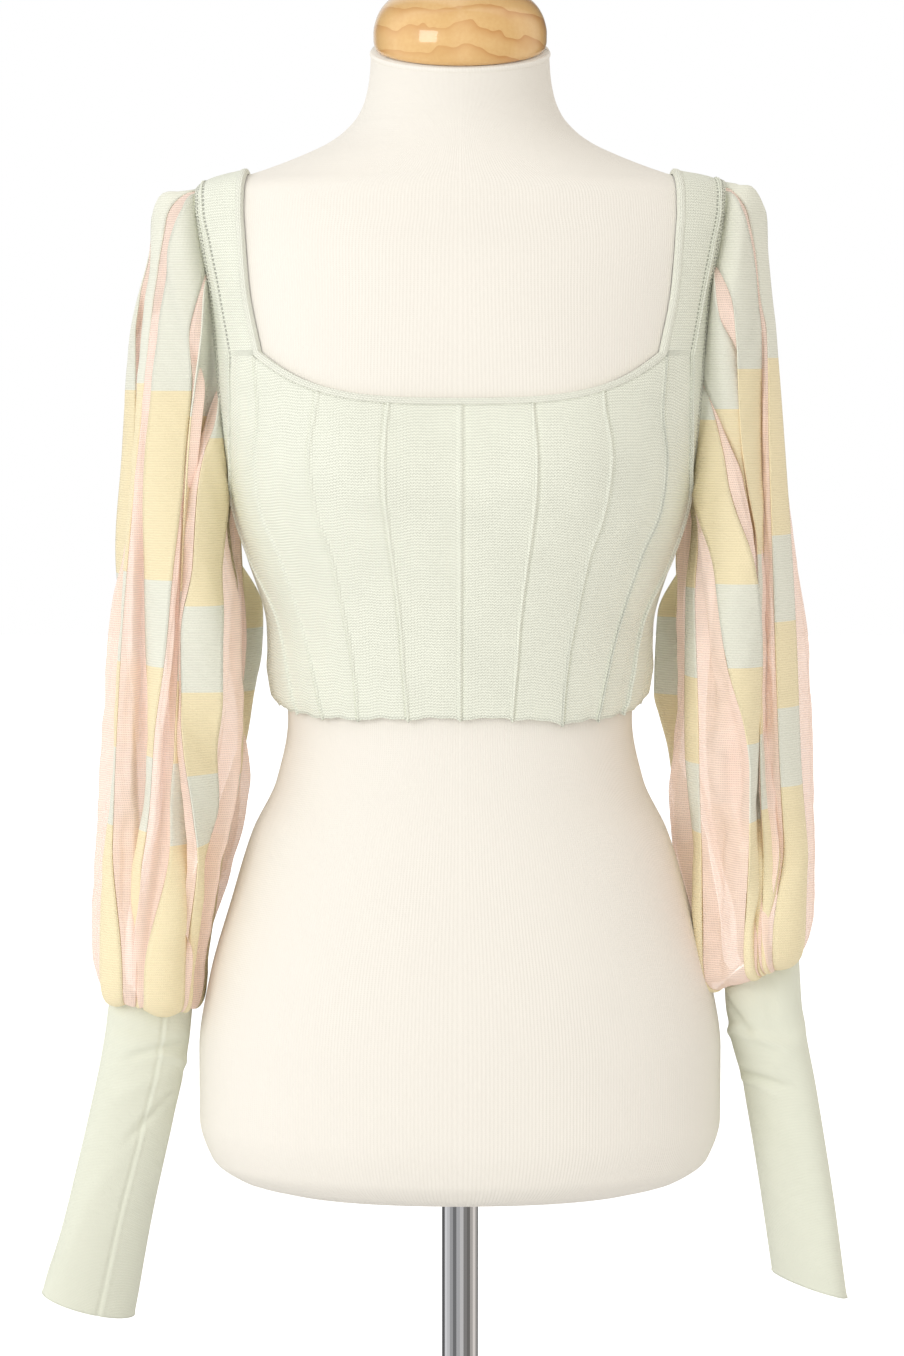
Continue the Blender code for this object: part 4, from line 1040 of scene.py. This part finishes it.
def make_bands():
    """Front and back neckbands and the bands up the straps' inner edges, by the panel they go with."""
    bands = {"front": [], "back": []}
    for panel, order in (("front", 1), ("back", -1)):
        heights, angles = neckline_edge(panel, order)
        bands[panel].append(add_band(f"neckband_{panel}", [(panel, heights, angles)]))
    for side, sign in SIDES.items():
        ways = np.linspace(0, 1, 120)
        pieces = []
        for panel in ("front", "back"):
            heights, angles = strap_places(panel, np.array([sign * (TUCKS - 1.0)]), ways)
            pieces.append((panel, heights[:, 0], angles[:, 0]))
        first, second = pieces if sign > 0 else pieces[::-1]
        second = (second[0], second[1][::-1][1:], second[2][::-1][1:])
        bands["front"].append(add_band(f"neck_edge_{side}", [first, second]))
    return bands


def add_band(node, pieces):
    """The band that stands for a node, along pieces of edge given as (panel, heights, angles)."""
    edge, normals = [], []
    for panel, heights, angles in pieces:
        edge.append(cloth_point(panel, heights, angles, np.full(heights.shape, BAND_EDGE_OUT)))
        normals.append(form_normal(heights, facing(panel, angles)))
    grid = band_grid(np.concatenate(edge), np.concatenate(normals))
    flat = flat_measure(grid.swapaxes(0, 1)).swapaxes(0, 1)[..., ::-1]
    obj = add_mesh(f"{node}_rib", grid, turned_out(grid_faces(*grid.shape[:2]), -1), MINT_BAND, flat)
    finish_piece(obj, [node])
    return obj


# ---- sleeves

SLEEVE_ROWS = 118
TURN_ROWS = 26
GORE_COLUMNS = 11
INSERT_COLUMNS = 19
# Rows over which a strip's folds and bows come, and how much closer together the upper rows are.
FADE_ROWS = 10
ROW_SPREAD = 1.25
# Rows above the cuff where a gore begins to swell, and over how many it comes and goes.
SWELL_ROWS = 26
SWELL_IN_ROWS = 20
SWELL_OUT_ROWS = 14
# Widths at which a gore swells in full and an insert's pleats stand in full.
SWELL_CHORD = 22 * MM
PLEAT_CHORD = 20 * MM
# Rows over which a gore's upper end follows the armhole, and the top gore's.
PULL_ROWS = 4.0
TOP_PULL_ROWS = 7.0


def armhole_rim(side):
    """The armhole's edge once round from the shoulder, by way of the front, and back to it."""
    ways = np.linspace(0, 1, 50)[1:]
    place = SIDES[side] * np.array([TUCKS + 1.0, TUCKS + 0.9])
    bend = UNDERARM + 30 * MM
    rim = []
    for panel in ("front", "back"):
        curved, upright = np.linspace(UNDERARM, bend, 24)[:-1], np.linspace(bend, NECK_CORNER[panel], 24)
        low = np.concatenate([curved, upright])[:, None] + 0 * place
        turn = column_angle(panel, low, np.broadcast_to(place, low.shape))
        high, high_turn = strap_places(panel, place, ways)
        heights, angles = np.concatenate([low, high]), np.concatenate([turn, high_turn])
        points = cloth_point(panel, heights, angles, np.full(heights.shape, BODY_OUT))
        points[len(low) :, :, 2] += shoulder_rise(place, ways)
        normals = form_normal(heights[:, 0], facing(panel, angles[:, 0]))
        away = unit(points[:, 0] - points[:, 1])
        rim.append(points[:, 0] + away * SEAM_GAP - normals * SLEEVE_THICK)
    front, back = rim
    return np.concatenate([front[::-1], back[1:-1], front[-1:]])


def tip_distances(side, path):
    """Where the inserts start round the armhole's closed path, from the one in front of the top gore."""
    gone = distances(path)
    lowest = int(np.argmin(path[:, 2]))
    front = [np.interp(-tip[0] * MM, -path[: lowest + 1, 2], gone[: lowest + 1]) for tip in TIPS[side]]
    back = [np.interp(tip[1] * MM, path[lowest:, 2], gone[lowest:]) for tip in TIPS[side]]
    return front + back[::-1]


def seam_reach(side, insert):
    """How far below its point an insert's seams hang free of the armhole."""
    reaches = [tip[2] * MM for tip in TIPS[side]]
    return (reaches + reaches[::-1])[insert]


def from_axes(side, outward, forward, height):
    """Points from distances outward on this side, forward and up."""
    return together(SIDES[side] * outward, -forward, height)


def free_edge(side, gore, end, height):
    """An edge of a gore where it hangs free: end is -1 before the gore and 1 after it."""
    stations = level_curve(SLEEVE_STATIONS[side][GORES[gore]])(height / MM)
    outward, forward = stations[..., 0] * MM, stations[..., 1] * MM
    turn = np.radians(stations[..., 2])
    half = end * GORE_WIDTH / 2
    return from_axes(side, outward - np.sin(turn) * half, forward + np.cos(turn) * half, height)


def gore_beside(insert, end):
    """Number of the gore before an insert, or of the one after it where end is 1."""
    return insert if end < 0 else (insert + 1) % len(GORES)


def ring_turn(side, insert, end):
    """How far round the cuff a seam is; end -1 is nearer the gore before the insert."""
    degrees = RING_TURNS[side][gore_beside(insert, end)][1 if end < 0 else 0]
    return math.radians(degrees + (360 if insert == len(GORES) - 1 and end > 0 else 0))


def bulb_edge(side, insert, end, height):
    """Where a seam is on the ring of cloth that hangs round the cuff's top edge."""
    outward, forward, half_width, half_depth = BULBS[side]
    place = ring_turn(side, insert, end)
    sink = RING_SINK[side][gore_beside(insert, end)]
    return from_axes(side, (outward + (half_width - sink) * math.cos(place)) * MM,
                     (forward + (half_depth - sink) * math.sin(place)) * MM, height)


def cuff_drop(side, turn):
    """How far the cuff's top edge lies below its outer side."""
    return CUFF_TOP_SLOPE[side] * (np.cos(turn) - 1) / 2


def cuff_ring(side, level, turn, wider=0.0):
    """Points round the cuff at a level of the table's values, whose height is in millimetres."""
    height, outward, forward, half_width, half_depth, twist = np.moveaxis(np.asarray(level, float), -1, 0)
    twist = np.radians(twist)
    flat = (half_width * MM + wider) * np.cos(turn - twist)
    deep = (half_depth * MM + wider) * np.sin(turn - twist)
    return from_axes(
        side,
        outward * MM + flat * np.cos(twist) - deep * np.sin(twist),
        forward * MM + flat * np.sin(twist) + deep * np.cos(twist),
        height * MM,
    )


def cuff_top(side, turn):
    """A point on the cuff's top edge; turn 0 is its outer side and a quarter turn its front."""
    return cuff_ring(side, CUFF_LEVELS[side][0], turn) + np.array([0, 0, cuff_drop(side, turn)])


def seam_column(side, insert, end, start):
    """One seam from its point on the armhole to the cuff; end -1 is nearer the gore before."""
    gore = gore_beside(insert, end)
    edge = cuff_top(side, ring_turn(side, insert, end))
    turn_starts = edge[2] + BULB_ABOVE_CUFF
    heights = mix(start[2], turn_starts, np.linspace(0, 1, SLEEVE_ROWS) ** ROW_SPREAD)
    gathered = smooth((BULB_STARTS - heights) / (BULB_STARTS - turn_starts))[:, None]
    hang = mix(free_edge(side, gore, -end, heights), bulb_edge(side, insert, end, heights), gathered)
    left = 1 - np.clip((start[2] - heights) / seam_reach(side, insert), 0, 1)
    swing = mix(start, hang, np.sqrt(1 - left**2)[:, None])
    column = np.concatenate([swing[:, :2], heights[:, None]], 1)
    share, above = np.transpose(TURN_IN)
    corners = np.stack([mix(column[-1, 0], edge[0], share), mix(column[-1, 1], edge[1], share),
                        edge[2] + above * MM], -1)
    return np.concatenate([column, rounded(column[-8], corners, TURN_ROWS)[1:]])


def rounded(before, corners, count):
    """A smooth path through a few corners that leaves the first along the line from before it."""
    lead, tail = corners[0] + (before - corners[0]) * 0.3, 2 * corners[-1] - corners[-2]
    path = np.concatenate([[lead], corners, [tail]])
    out = []
    for step in range(len(corners) - 1):
        p0, p1, p2, p3 = path[step : step + 4]
        t = np.linspace(0, 1, count // (len(corners) - 1) + 1)[:-1, None]
        out.append(0.5 * (2 * p1 + (p2 - p0) * t + (2 * p0 - 5 * p1 + 4 * p2 - p3) * t**2
                          + (3 * p1 - p0 - 3 * p2 + p3) * t**3))
    return np.concatenate([*out, corners[-1:]])


def sleeve_outwards(start, finish, order):
    """Unit vectors out of the sleeve, square to the line between two seams, row by row."""
    down = np.gradient(start + finish, axis=0)
    outwards = unit(np.cross(unit(down), unit(finish - start))) * order
    padded = np.pad(outwards, ((3, 3), (0, 0)), mode="edge")
    return unit(np.stack([np.convolve(line, np.ones(7) / 7, "valid") for line in padded.T], -1))


def row_fade(rows):
    """0 where a sleeve's strip starts, 1 down it, and 0 where it joins the cuff."""
    row = np.arange(rows)
    return smooth(row / FADE_ROWS) * smooth((rows - 1 - row) / (TURN_ROWS + FADE_ROWS))


def across_strip(start, finish, shares):
    """A grid straight across between two seams."""
    return mix(start[:, None], finish[:, None], shares[None, :, None])


def add_strip(name, grid, order, material):
    """A sleeve strip's mesh, its area and its length down the middle."""
    faces = turned_out(grid_faces(*grid.shape[:2]), order)
    obj = add_mesh(name, grid, faces, material, hanging_measure(grid))
    return obj, mesh_area(obj), distances(grid[:, grid.shape[1] // 2])[-1]


def make_gore(side, number, start, finish, order, middle_top):
    """One solid gore between two seams, bowed outwards, more so where it swells over the cuff."""
    rows = np.arange(len(start))
    outwards = sleeve_outwards(start, finish, order)[:, None]
    shares = np.linspace(0, 1, GORE_COLUMNS)
    arch = 4 * shares * (1 - shares)
    fade = row_fade(len(rows))
    swell = smooth((rows - SLEEVE_ROWS + SWELL_ROWS) / SWELL_IN_ROWS)
    swell = swell * smooth((rows[-1] - rows) / SWELL_OUT_ROWS)
    chord = np.linalg.norm(finish - start, axis=-1)
    depth = fade * GORE_BOW + swell * np.clip(chord / SWELL_CHORD, 0, 1.2) * GORE_SWELL
    depth = depth + GORE_UNEVEN * fade * ripple(number + 3 * order, start[:, 2])
    grid = across_strip(start, finish, shares) + outwards * (arch[None, :, None] * depth[:, None, None])
    rolls = [hump(share * chord[:, None], EDGE_ROLL_WIDTH) for share in (shares, 1 - shares)]
    grid = grid + outwards * (GORE_EDGE_ROLL * sum(rolls))[..., None] * fade[:, None, None]
    reach = TOP_PULL_ROWS if number == 0 else PULL_ROWS
    pull = np.exp(-(rows / reach))[:, None, None] * arch[None, :, None]
    grid = grid + (middle_top - (start[0] + finish[0]) / 2) * pull
    if number == 0:
        cap = CAP_RISE * smooth(rows / 6) * hump(rows - 5, 7)
        grid[..., 2] += cap[:, None] * arch
    name = f"sleeve_{side}_gore_{GORES[number]}"
    obj, area, length = add_strip(f"{name}_knit", grid, order, gore_material(side, GORES[number]))
    wall(obj, SLEEVE_THICK * SLEEVE_SHELL_SHARE)
    finish_piece(obj, [name])


def fold_lift(folds, seed, place, shares, settle):
    """How far an insert's two folds stand out across each of its rows."""
    none = np.zeros(len(place))
    first, rise, second, fall = np.moveaxis(level_curve(folds)(place / MM), -1, 0)
    wander = [FOLD_WANDER * ripple(number, place) for number in (seed, seed + 9)]
    marks = [none, first + wander[0], second + wander[1], none + 1]
    heights = [none, rise * MM * settle, fall * MM * settle, none]
    lift = np.stack([np.interp(shares, *row) for row in zip(np.transpose(marks), np.transpose(heights))])
    kernel = np.array([1, 2, 3, 2, 1]) / 9
    padded = np.pad(lift, ((0, 0), (2, 2)), mode="edge")
    soft = np.stack([np.convolve(line, kernel, "valid") for line in padded])
    return mix(lift, soft, FOLD_SOFTNESS) * FOLD_GAIN


def make_insert(side, number, start, finish, order):
    """One sheer insert between two seams, folded in and out across its width."""
    outwards = sleeve_outwards(start, finish, order)
    chord = np.linalg.norm(finish - start, axis=-1)
    place = start[:, 2]
    opened = np.clip((place[0] - place) / INSERT_OPENS, 0, 1)
    shares = np.linspace(0, 1, INSERT_COLUMNS)
    fade = row_fade(len(start))
    seed = number * 2 + (0.5 if side == "left" else 0)
    lift = fold_lift(INSERT_FOLDS[side][number], seed, place, shares, fade * smooth(opened * 3))
    edge = np.minimum(1, 6 * np.minimum(shares, 1 - shares))
    shift = 1.6 * ripple(seed + 4, place)[:, None]
    pleat = INSERT_PLEAT * np.sin(shares[None, :] * math.pi * (5 + number % 3) + shift)
    lift = lift + pleat * edge * (opened * fade * np.clip(chord / PLEAT_CHORD, 0.2, 1))[:, None]
    grid = across_strip(start, finish, shares) + outwards[:, None] * lift[..., None]
    name = f"sleeve_{side}_insert_{number + 1}"
    obj, area, length = add_strip(f"{name}_sheer", grid, order, SHEER)
    finish_piece(obj, [name])


def make_sleeve(side):
    """The gores and inserts round one arm, between seams from the armhole to the cuff."""
    order = -SIDES[side]
    path = armhole_rim(side)
    tips = tip_distances(side, path)
    whole = distances(path)[-1]
    seams = []
    for insert, tip in enumerate(tips):
        starts = along(path, [(tip + end * INSERT_TIP / 2) % whole for end in (-1, 1)])
        seams.append([seam_column(side, insert, end, start) for end, start in zip((-1, 1), starts)])
    for number in range(len(GORES)):
        before = tips[number - 1] - (whole if number == 0 else 0)
        middle_top = along(path, [((before + tips[number]) / 2) % whole])[0]
        make_gore(side, number, seams[number - 1][1], seams[number][0], order, middle_top)
        make_insert(side, number, *seams[number], order)


# ---- cuffs

CUFF_ROWS = 120
CUFF_SIDES = 144
# Flat width all round in millimetres, and of one degree of it.
CUFF_ROUND = 162
CUFF_DEGREE = CUFF_ROUND / 360
# Turn round the cuff where its seam lies.
CUFF_SEAM = {"left": 118, "right": 200}
# The seam's groove, the ridge beside it and the rolled hem: height, width and place of each.
CUFF_SEAM_GROOVE = (-0.9, 1.1)
CUFF_SEAM_RIDGE = (0.5, 1.2, 2.2)
CUFF_HEM_ROLL = (0.45, 1.3)
# How the lower edge lies: its rise, how far it slopes either way and the turn of its highest place.
CUFF_MOUTH = {"left": (4, 11, 0), "right": (-3, 5, 180)}
CUFF_MOUTH_REACH = 40
# How much a crease bends, and the hollow beside it: its depth, place and width as shares.
CREASE_BEND = 0.0035
CREASE_HOLLOW = (0.35, 2.2, 1.4)
# Creases: turn round the cuff, height, slant, length, width, depth (a trough is below 0).
CUFF_CREASES = {
    "left": (
        (120, 428, 18, 44, 3.0, -2.0), (150, 420, -20, 36, 4.0, 1.6), (128, 378, 52, 40, 3.2, -1.4),
        (100, 400, 30, 60, 6.0, 0.8), (60, 440, 5, 40, 4.0, -0.8), (250, 405, -15, 60, 5.0, -1.4),
        (300, 340, 30, 60, 6.0, -1.0), (70, 320, 75, 90, 7.0, 0.6),
    ),
    "right": (
        (150, 462, 60, 50, 4.0, -2.2), (120, 440, 25, 46, 4.0, 1.8), (175, 448, -25, 40, 4.0, 1.6),
        (135, 405, 12, 46, 3.2, -2.0), (150, 398, 12, 40, 4.0, 1.4), (95, 470, 80, 50, 4.5, -1.2),
        (60, 430, -30, 60, 6.0, 0.8), (280, 410, 20, 60, 5.0, -1.2), (110, 340, 70, 90, 7.0, -0.7),
    ),
}


def crease_lift(across, along_it, creases):
    """How far creases push the cloth out; places and sizes in millimetres on the flat cloth."""
    lift = np.zeros(np.broadcast(across, along_it).shape)
    for at_across, at_along, slant, length, width, depth in creases:
        turn = math.radians(slant)
        x, y = across - at_across, along_it - at_along
        run = x * math.cos(turn) + y * math.sin(turn)
        off = -x * math.sin(turn) + y * math.cos(turn) + CREASE_BEND * run**2
        window = np.exp(-((run / (length / 2)) ** 4))
        share, middle, wide = CREASE_HOLLOW
        profile = hump(off, width) - share * hump(off - middle * width, wide * width)
        lift = lift + depth * profile * window
    return lift


def roll(off, height, width, middle=0.0):
    """A soft ridge, or a groove where its height is below 0; all in millimetres but what it gives."""
    return height * MM * hump(off - middle, width)


def cuff_lift(side, turns, heights):
    """How far a cuff's creases, sewn seam and rolled hem push its cloth out; heights in millimetres."""
    degrees = np.degrees(turns)
    creases = [(turn * CUFF_DEGREE, *rest) for turn, *rest in CUFF_CREASES[side]]
    lift = crease_lift(degrees[None, :] * CUFF_DEGREE, heights[:, None], creases) * MM
    beside = ((degrees - CUFF_SEAM[side] + 180) % 360 - 180)[None, :] * CUFF_DEGREE
    lift = lift + roll(beside, *CUFF_SEAM_GROOVE) + roll(beside, *CUFF_SEAM_RIDGE)
    return lift + roll(heights - heights[0], *CUFF_HEM_ROLL)[:, None]


def make_cuff(side):
    """One long cuff: a tube with a sloping top, an uneven mouth and a few creases."""
    levels = sorted(level[0] for level in CUFF_LEVELS[side])
    heights = np.linspace(levels[0], levels[-1], CUFF_ROWS)
    turns = circle(CUFF_SIDES)
    values = np.concatenate([heights[:, None], level_curve(CUFF_LEVELS[side])(heights)], 1)
    grid = cuff_ring(side, values[:, None, :], turns[None, :], CUFF_THICK / 2)
    top_share = np.clip((heights - levels[-3]) / (levels[-1] - levels[-3]), 0, 1)
    grid[..., 2] += cuff_drop(side, turns)[None, :] * top_share[:, None]
    level, slope, phase = CUFF_MOUTH[side]
    mouth = hump(heights - heights[0], CUFF_MOUTH_REACH)
    rise = (level + slope * np.cos(turns - math.radians(phase))) * MM
    grid[..., 2] += rise[None, :] * mouth[:, None]
    out = np.cross(np.roll(grid, -1, 1) - np.roll(grid, 1, 1), np.gradient(grid, axis=0))
    grid = grid + unit(out) * -SIDES[side] * cuff_lift(side, turns, heights)[..., None]
    flat = together(np.degrees(turns)[None, :] * CUFF_DEGREE * MM, heights[:, None] * MM)
    faces = turned_out(grid_faces(*grid.shape[:2], closed=True), -SIDES[side])
    obj = add_mesh(f"cuff_{side}_knit", grid, faces, MINT_CUFF, flat, CUFF_ROUND * MM)
    wall(obj, CUFF_THICK * SHELL_SHARE, -1)
    finish_piece(obj, [f"cuff_{side}"])


# ---- scene


def finish_piece(obj, nodes=()):
    """Hangs a piece on the root body and hides the nodes that it stands for."""
    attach(obj, "root")
    if nodes:
        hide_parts(*nodes)


def dress_stand():
    """Fresh materials on the pole and the base plate, whose shapes stay as they are."""
    for node, finish, slot in (("pole", CHROME, "pole_chrome"), ("base_plate", STEEL, "base_metal")):
        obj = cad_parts[node]
        obj.data.materials.clear()
        obj.data.materials.append(finish)


def mirror_room(world):
    """Upright dark and light bands, once round the middle, for polished pieces to mirror."""
    across, behind = world.split(world.node("ShaderNodeTexCoord").outputs["Generated"])[:2]
    turn = world.range(world.math("ARCTAN2", across, behind), -math.pi, math.pi)
    bands = world.ramp(turn, [(place, (tone, tone, tone, 1)) for place, tone in MIRROR_BANDS])
    return across, bands


def make_surround():
    """An even white surround, a little warmer from +X, that only polished pieces see as a room."""
    world = Nodes(bpy.data.worlds.new("surround"))
    bpy.context.scene.world = world.owner
    seen = world.node("ShaderNodeLightPath").outputs
    across, bands = mirror_room(world)
    warm = world.math("SUBTRACT", world.range(across, -0.2, 1.0), seen["Is Camera Ray"], use_clamp=True)
    strength = world.mix(seen["Is Camera Ray"], SURROUND_LIGHT, SURROUND_SEEN)
    world.set(Color=world.blend(warm, (1, 1, 1, 1), SURROUND_WARM),
              Strength=world.mix(seen["Is Glossy Ray"], strength, bands))


def make_stage():
    """A plain pale floor and soft lights."""
    mesh = bpy.data.meshes.new("floor")
    corners = [(x * FLOOR_SIZE, y * FLOOR_SIZE, 0) for x, y in ((-1, -1), (1, -1), (1, 1), (-1, 1))]
    mesh.from_pydata(corners, [], [(0, 1, 2, 3)])
    floor = add_object("floor", mesh)
    nodes = new_material("floor_white")
    seen = nodes.node("ShaderNodeLightPath").outputs["Is Camera Ray"]
    nodes.set(Base_Color=(0.85, 0.85, 0.85, 1), Roughness=0.7, Emission_Color=(1, 1, 1, 1),
              Emission_Strength=nodes.range(seen, 0, 1, 0.06, 0.6))
    floor.visible_glossy = False
    mesh.materials.append(nodes.owner)
    for name, place, size, energy in LIGHTS:
        light = bpy.data.lights.new(name, "AREA")
        light.size = size
        light.energy = energy
        lamp = add_object(name, light)
        lamp.location = place
        lamp.rotation_euler = (Vector(LIGHTS_AIM) - Vector(place)).to_track_quat("-Z", "Y").to_euler()
    bpy.context.scene.view_settings.view_transform = "Standard"


def make_camera():
    data = bpy.data.cameras.new("camera")
    data.lens = CAMERA_LENS
    camera = add_object("camera", data)
    camera.location = CAMERA_PLACE
    camera.rotation_euler = (math.pi / 2 - CAMERA_PITCH, 0, 0)
    bpy.context.scene.camera = camera


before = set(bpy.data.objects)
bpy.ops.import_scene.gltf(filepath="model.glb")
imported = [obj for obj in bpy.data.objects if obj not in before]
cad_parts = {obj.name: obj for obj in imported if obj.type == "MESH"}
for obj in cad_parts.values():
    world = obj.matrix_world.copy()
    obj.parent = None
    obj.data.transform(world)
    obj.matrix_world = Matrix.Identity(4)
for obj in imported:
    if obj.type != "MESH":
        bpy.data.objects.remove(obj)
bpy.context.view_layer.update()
LOOKS = bpy.data.collections.new("looks")
bpy.context.scene.collection.children.link(LOOKS)
CREAM = colour(242, 237, 227)
MINT = colour(243, 243, 227)
YELLOW = colour(255, 240, 199)
PINK = colour(255, 230, 215)
JERSEY = jersey_material()
PINE = pine_material()
CHROME = metal_material("pole_chrome", (0.78, 0.78, 0.80, 1), 0.05)
STEEL = metal_material("base_metal", (0.62, 0.62, 0.64, 1), 0.28, 0.08)
MINT_BODY = knit_material("mint_body", colour(246, 248, 232), 1.9 * MM, 2.1 * MM, 0.42 * MM,
                          groove_shade_and_speckle=0.065, stitched=True)
MINT_BAND = knit_material("mint_band", colour(248, 249, 234), 1.3 * MM, 2.4 * MM, 0.45 * MM)
MINT_CUFF = knit_material("mint_cuff", colour(237, 239, 221), 1.0 * MM, 0.9 * MM, 0.16 * MM, groove_shade_and_speckle=0.03)
SHEER = sheer_material("sheer_pink", PINK, 1.5 * MM, 1.2 * MM)

make_camera()
make_surround()
make_stage()
dress_stand()
make_form()
make_neck_rim()
make_cap()
for panel_name, panel_bands in make_bands().items():
    make_panel(panel_name)
for side_name in SIDES:
    make_sleeve(side_name)
    make_cuff(side_name)
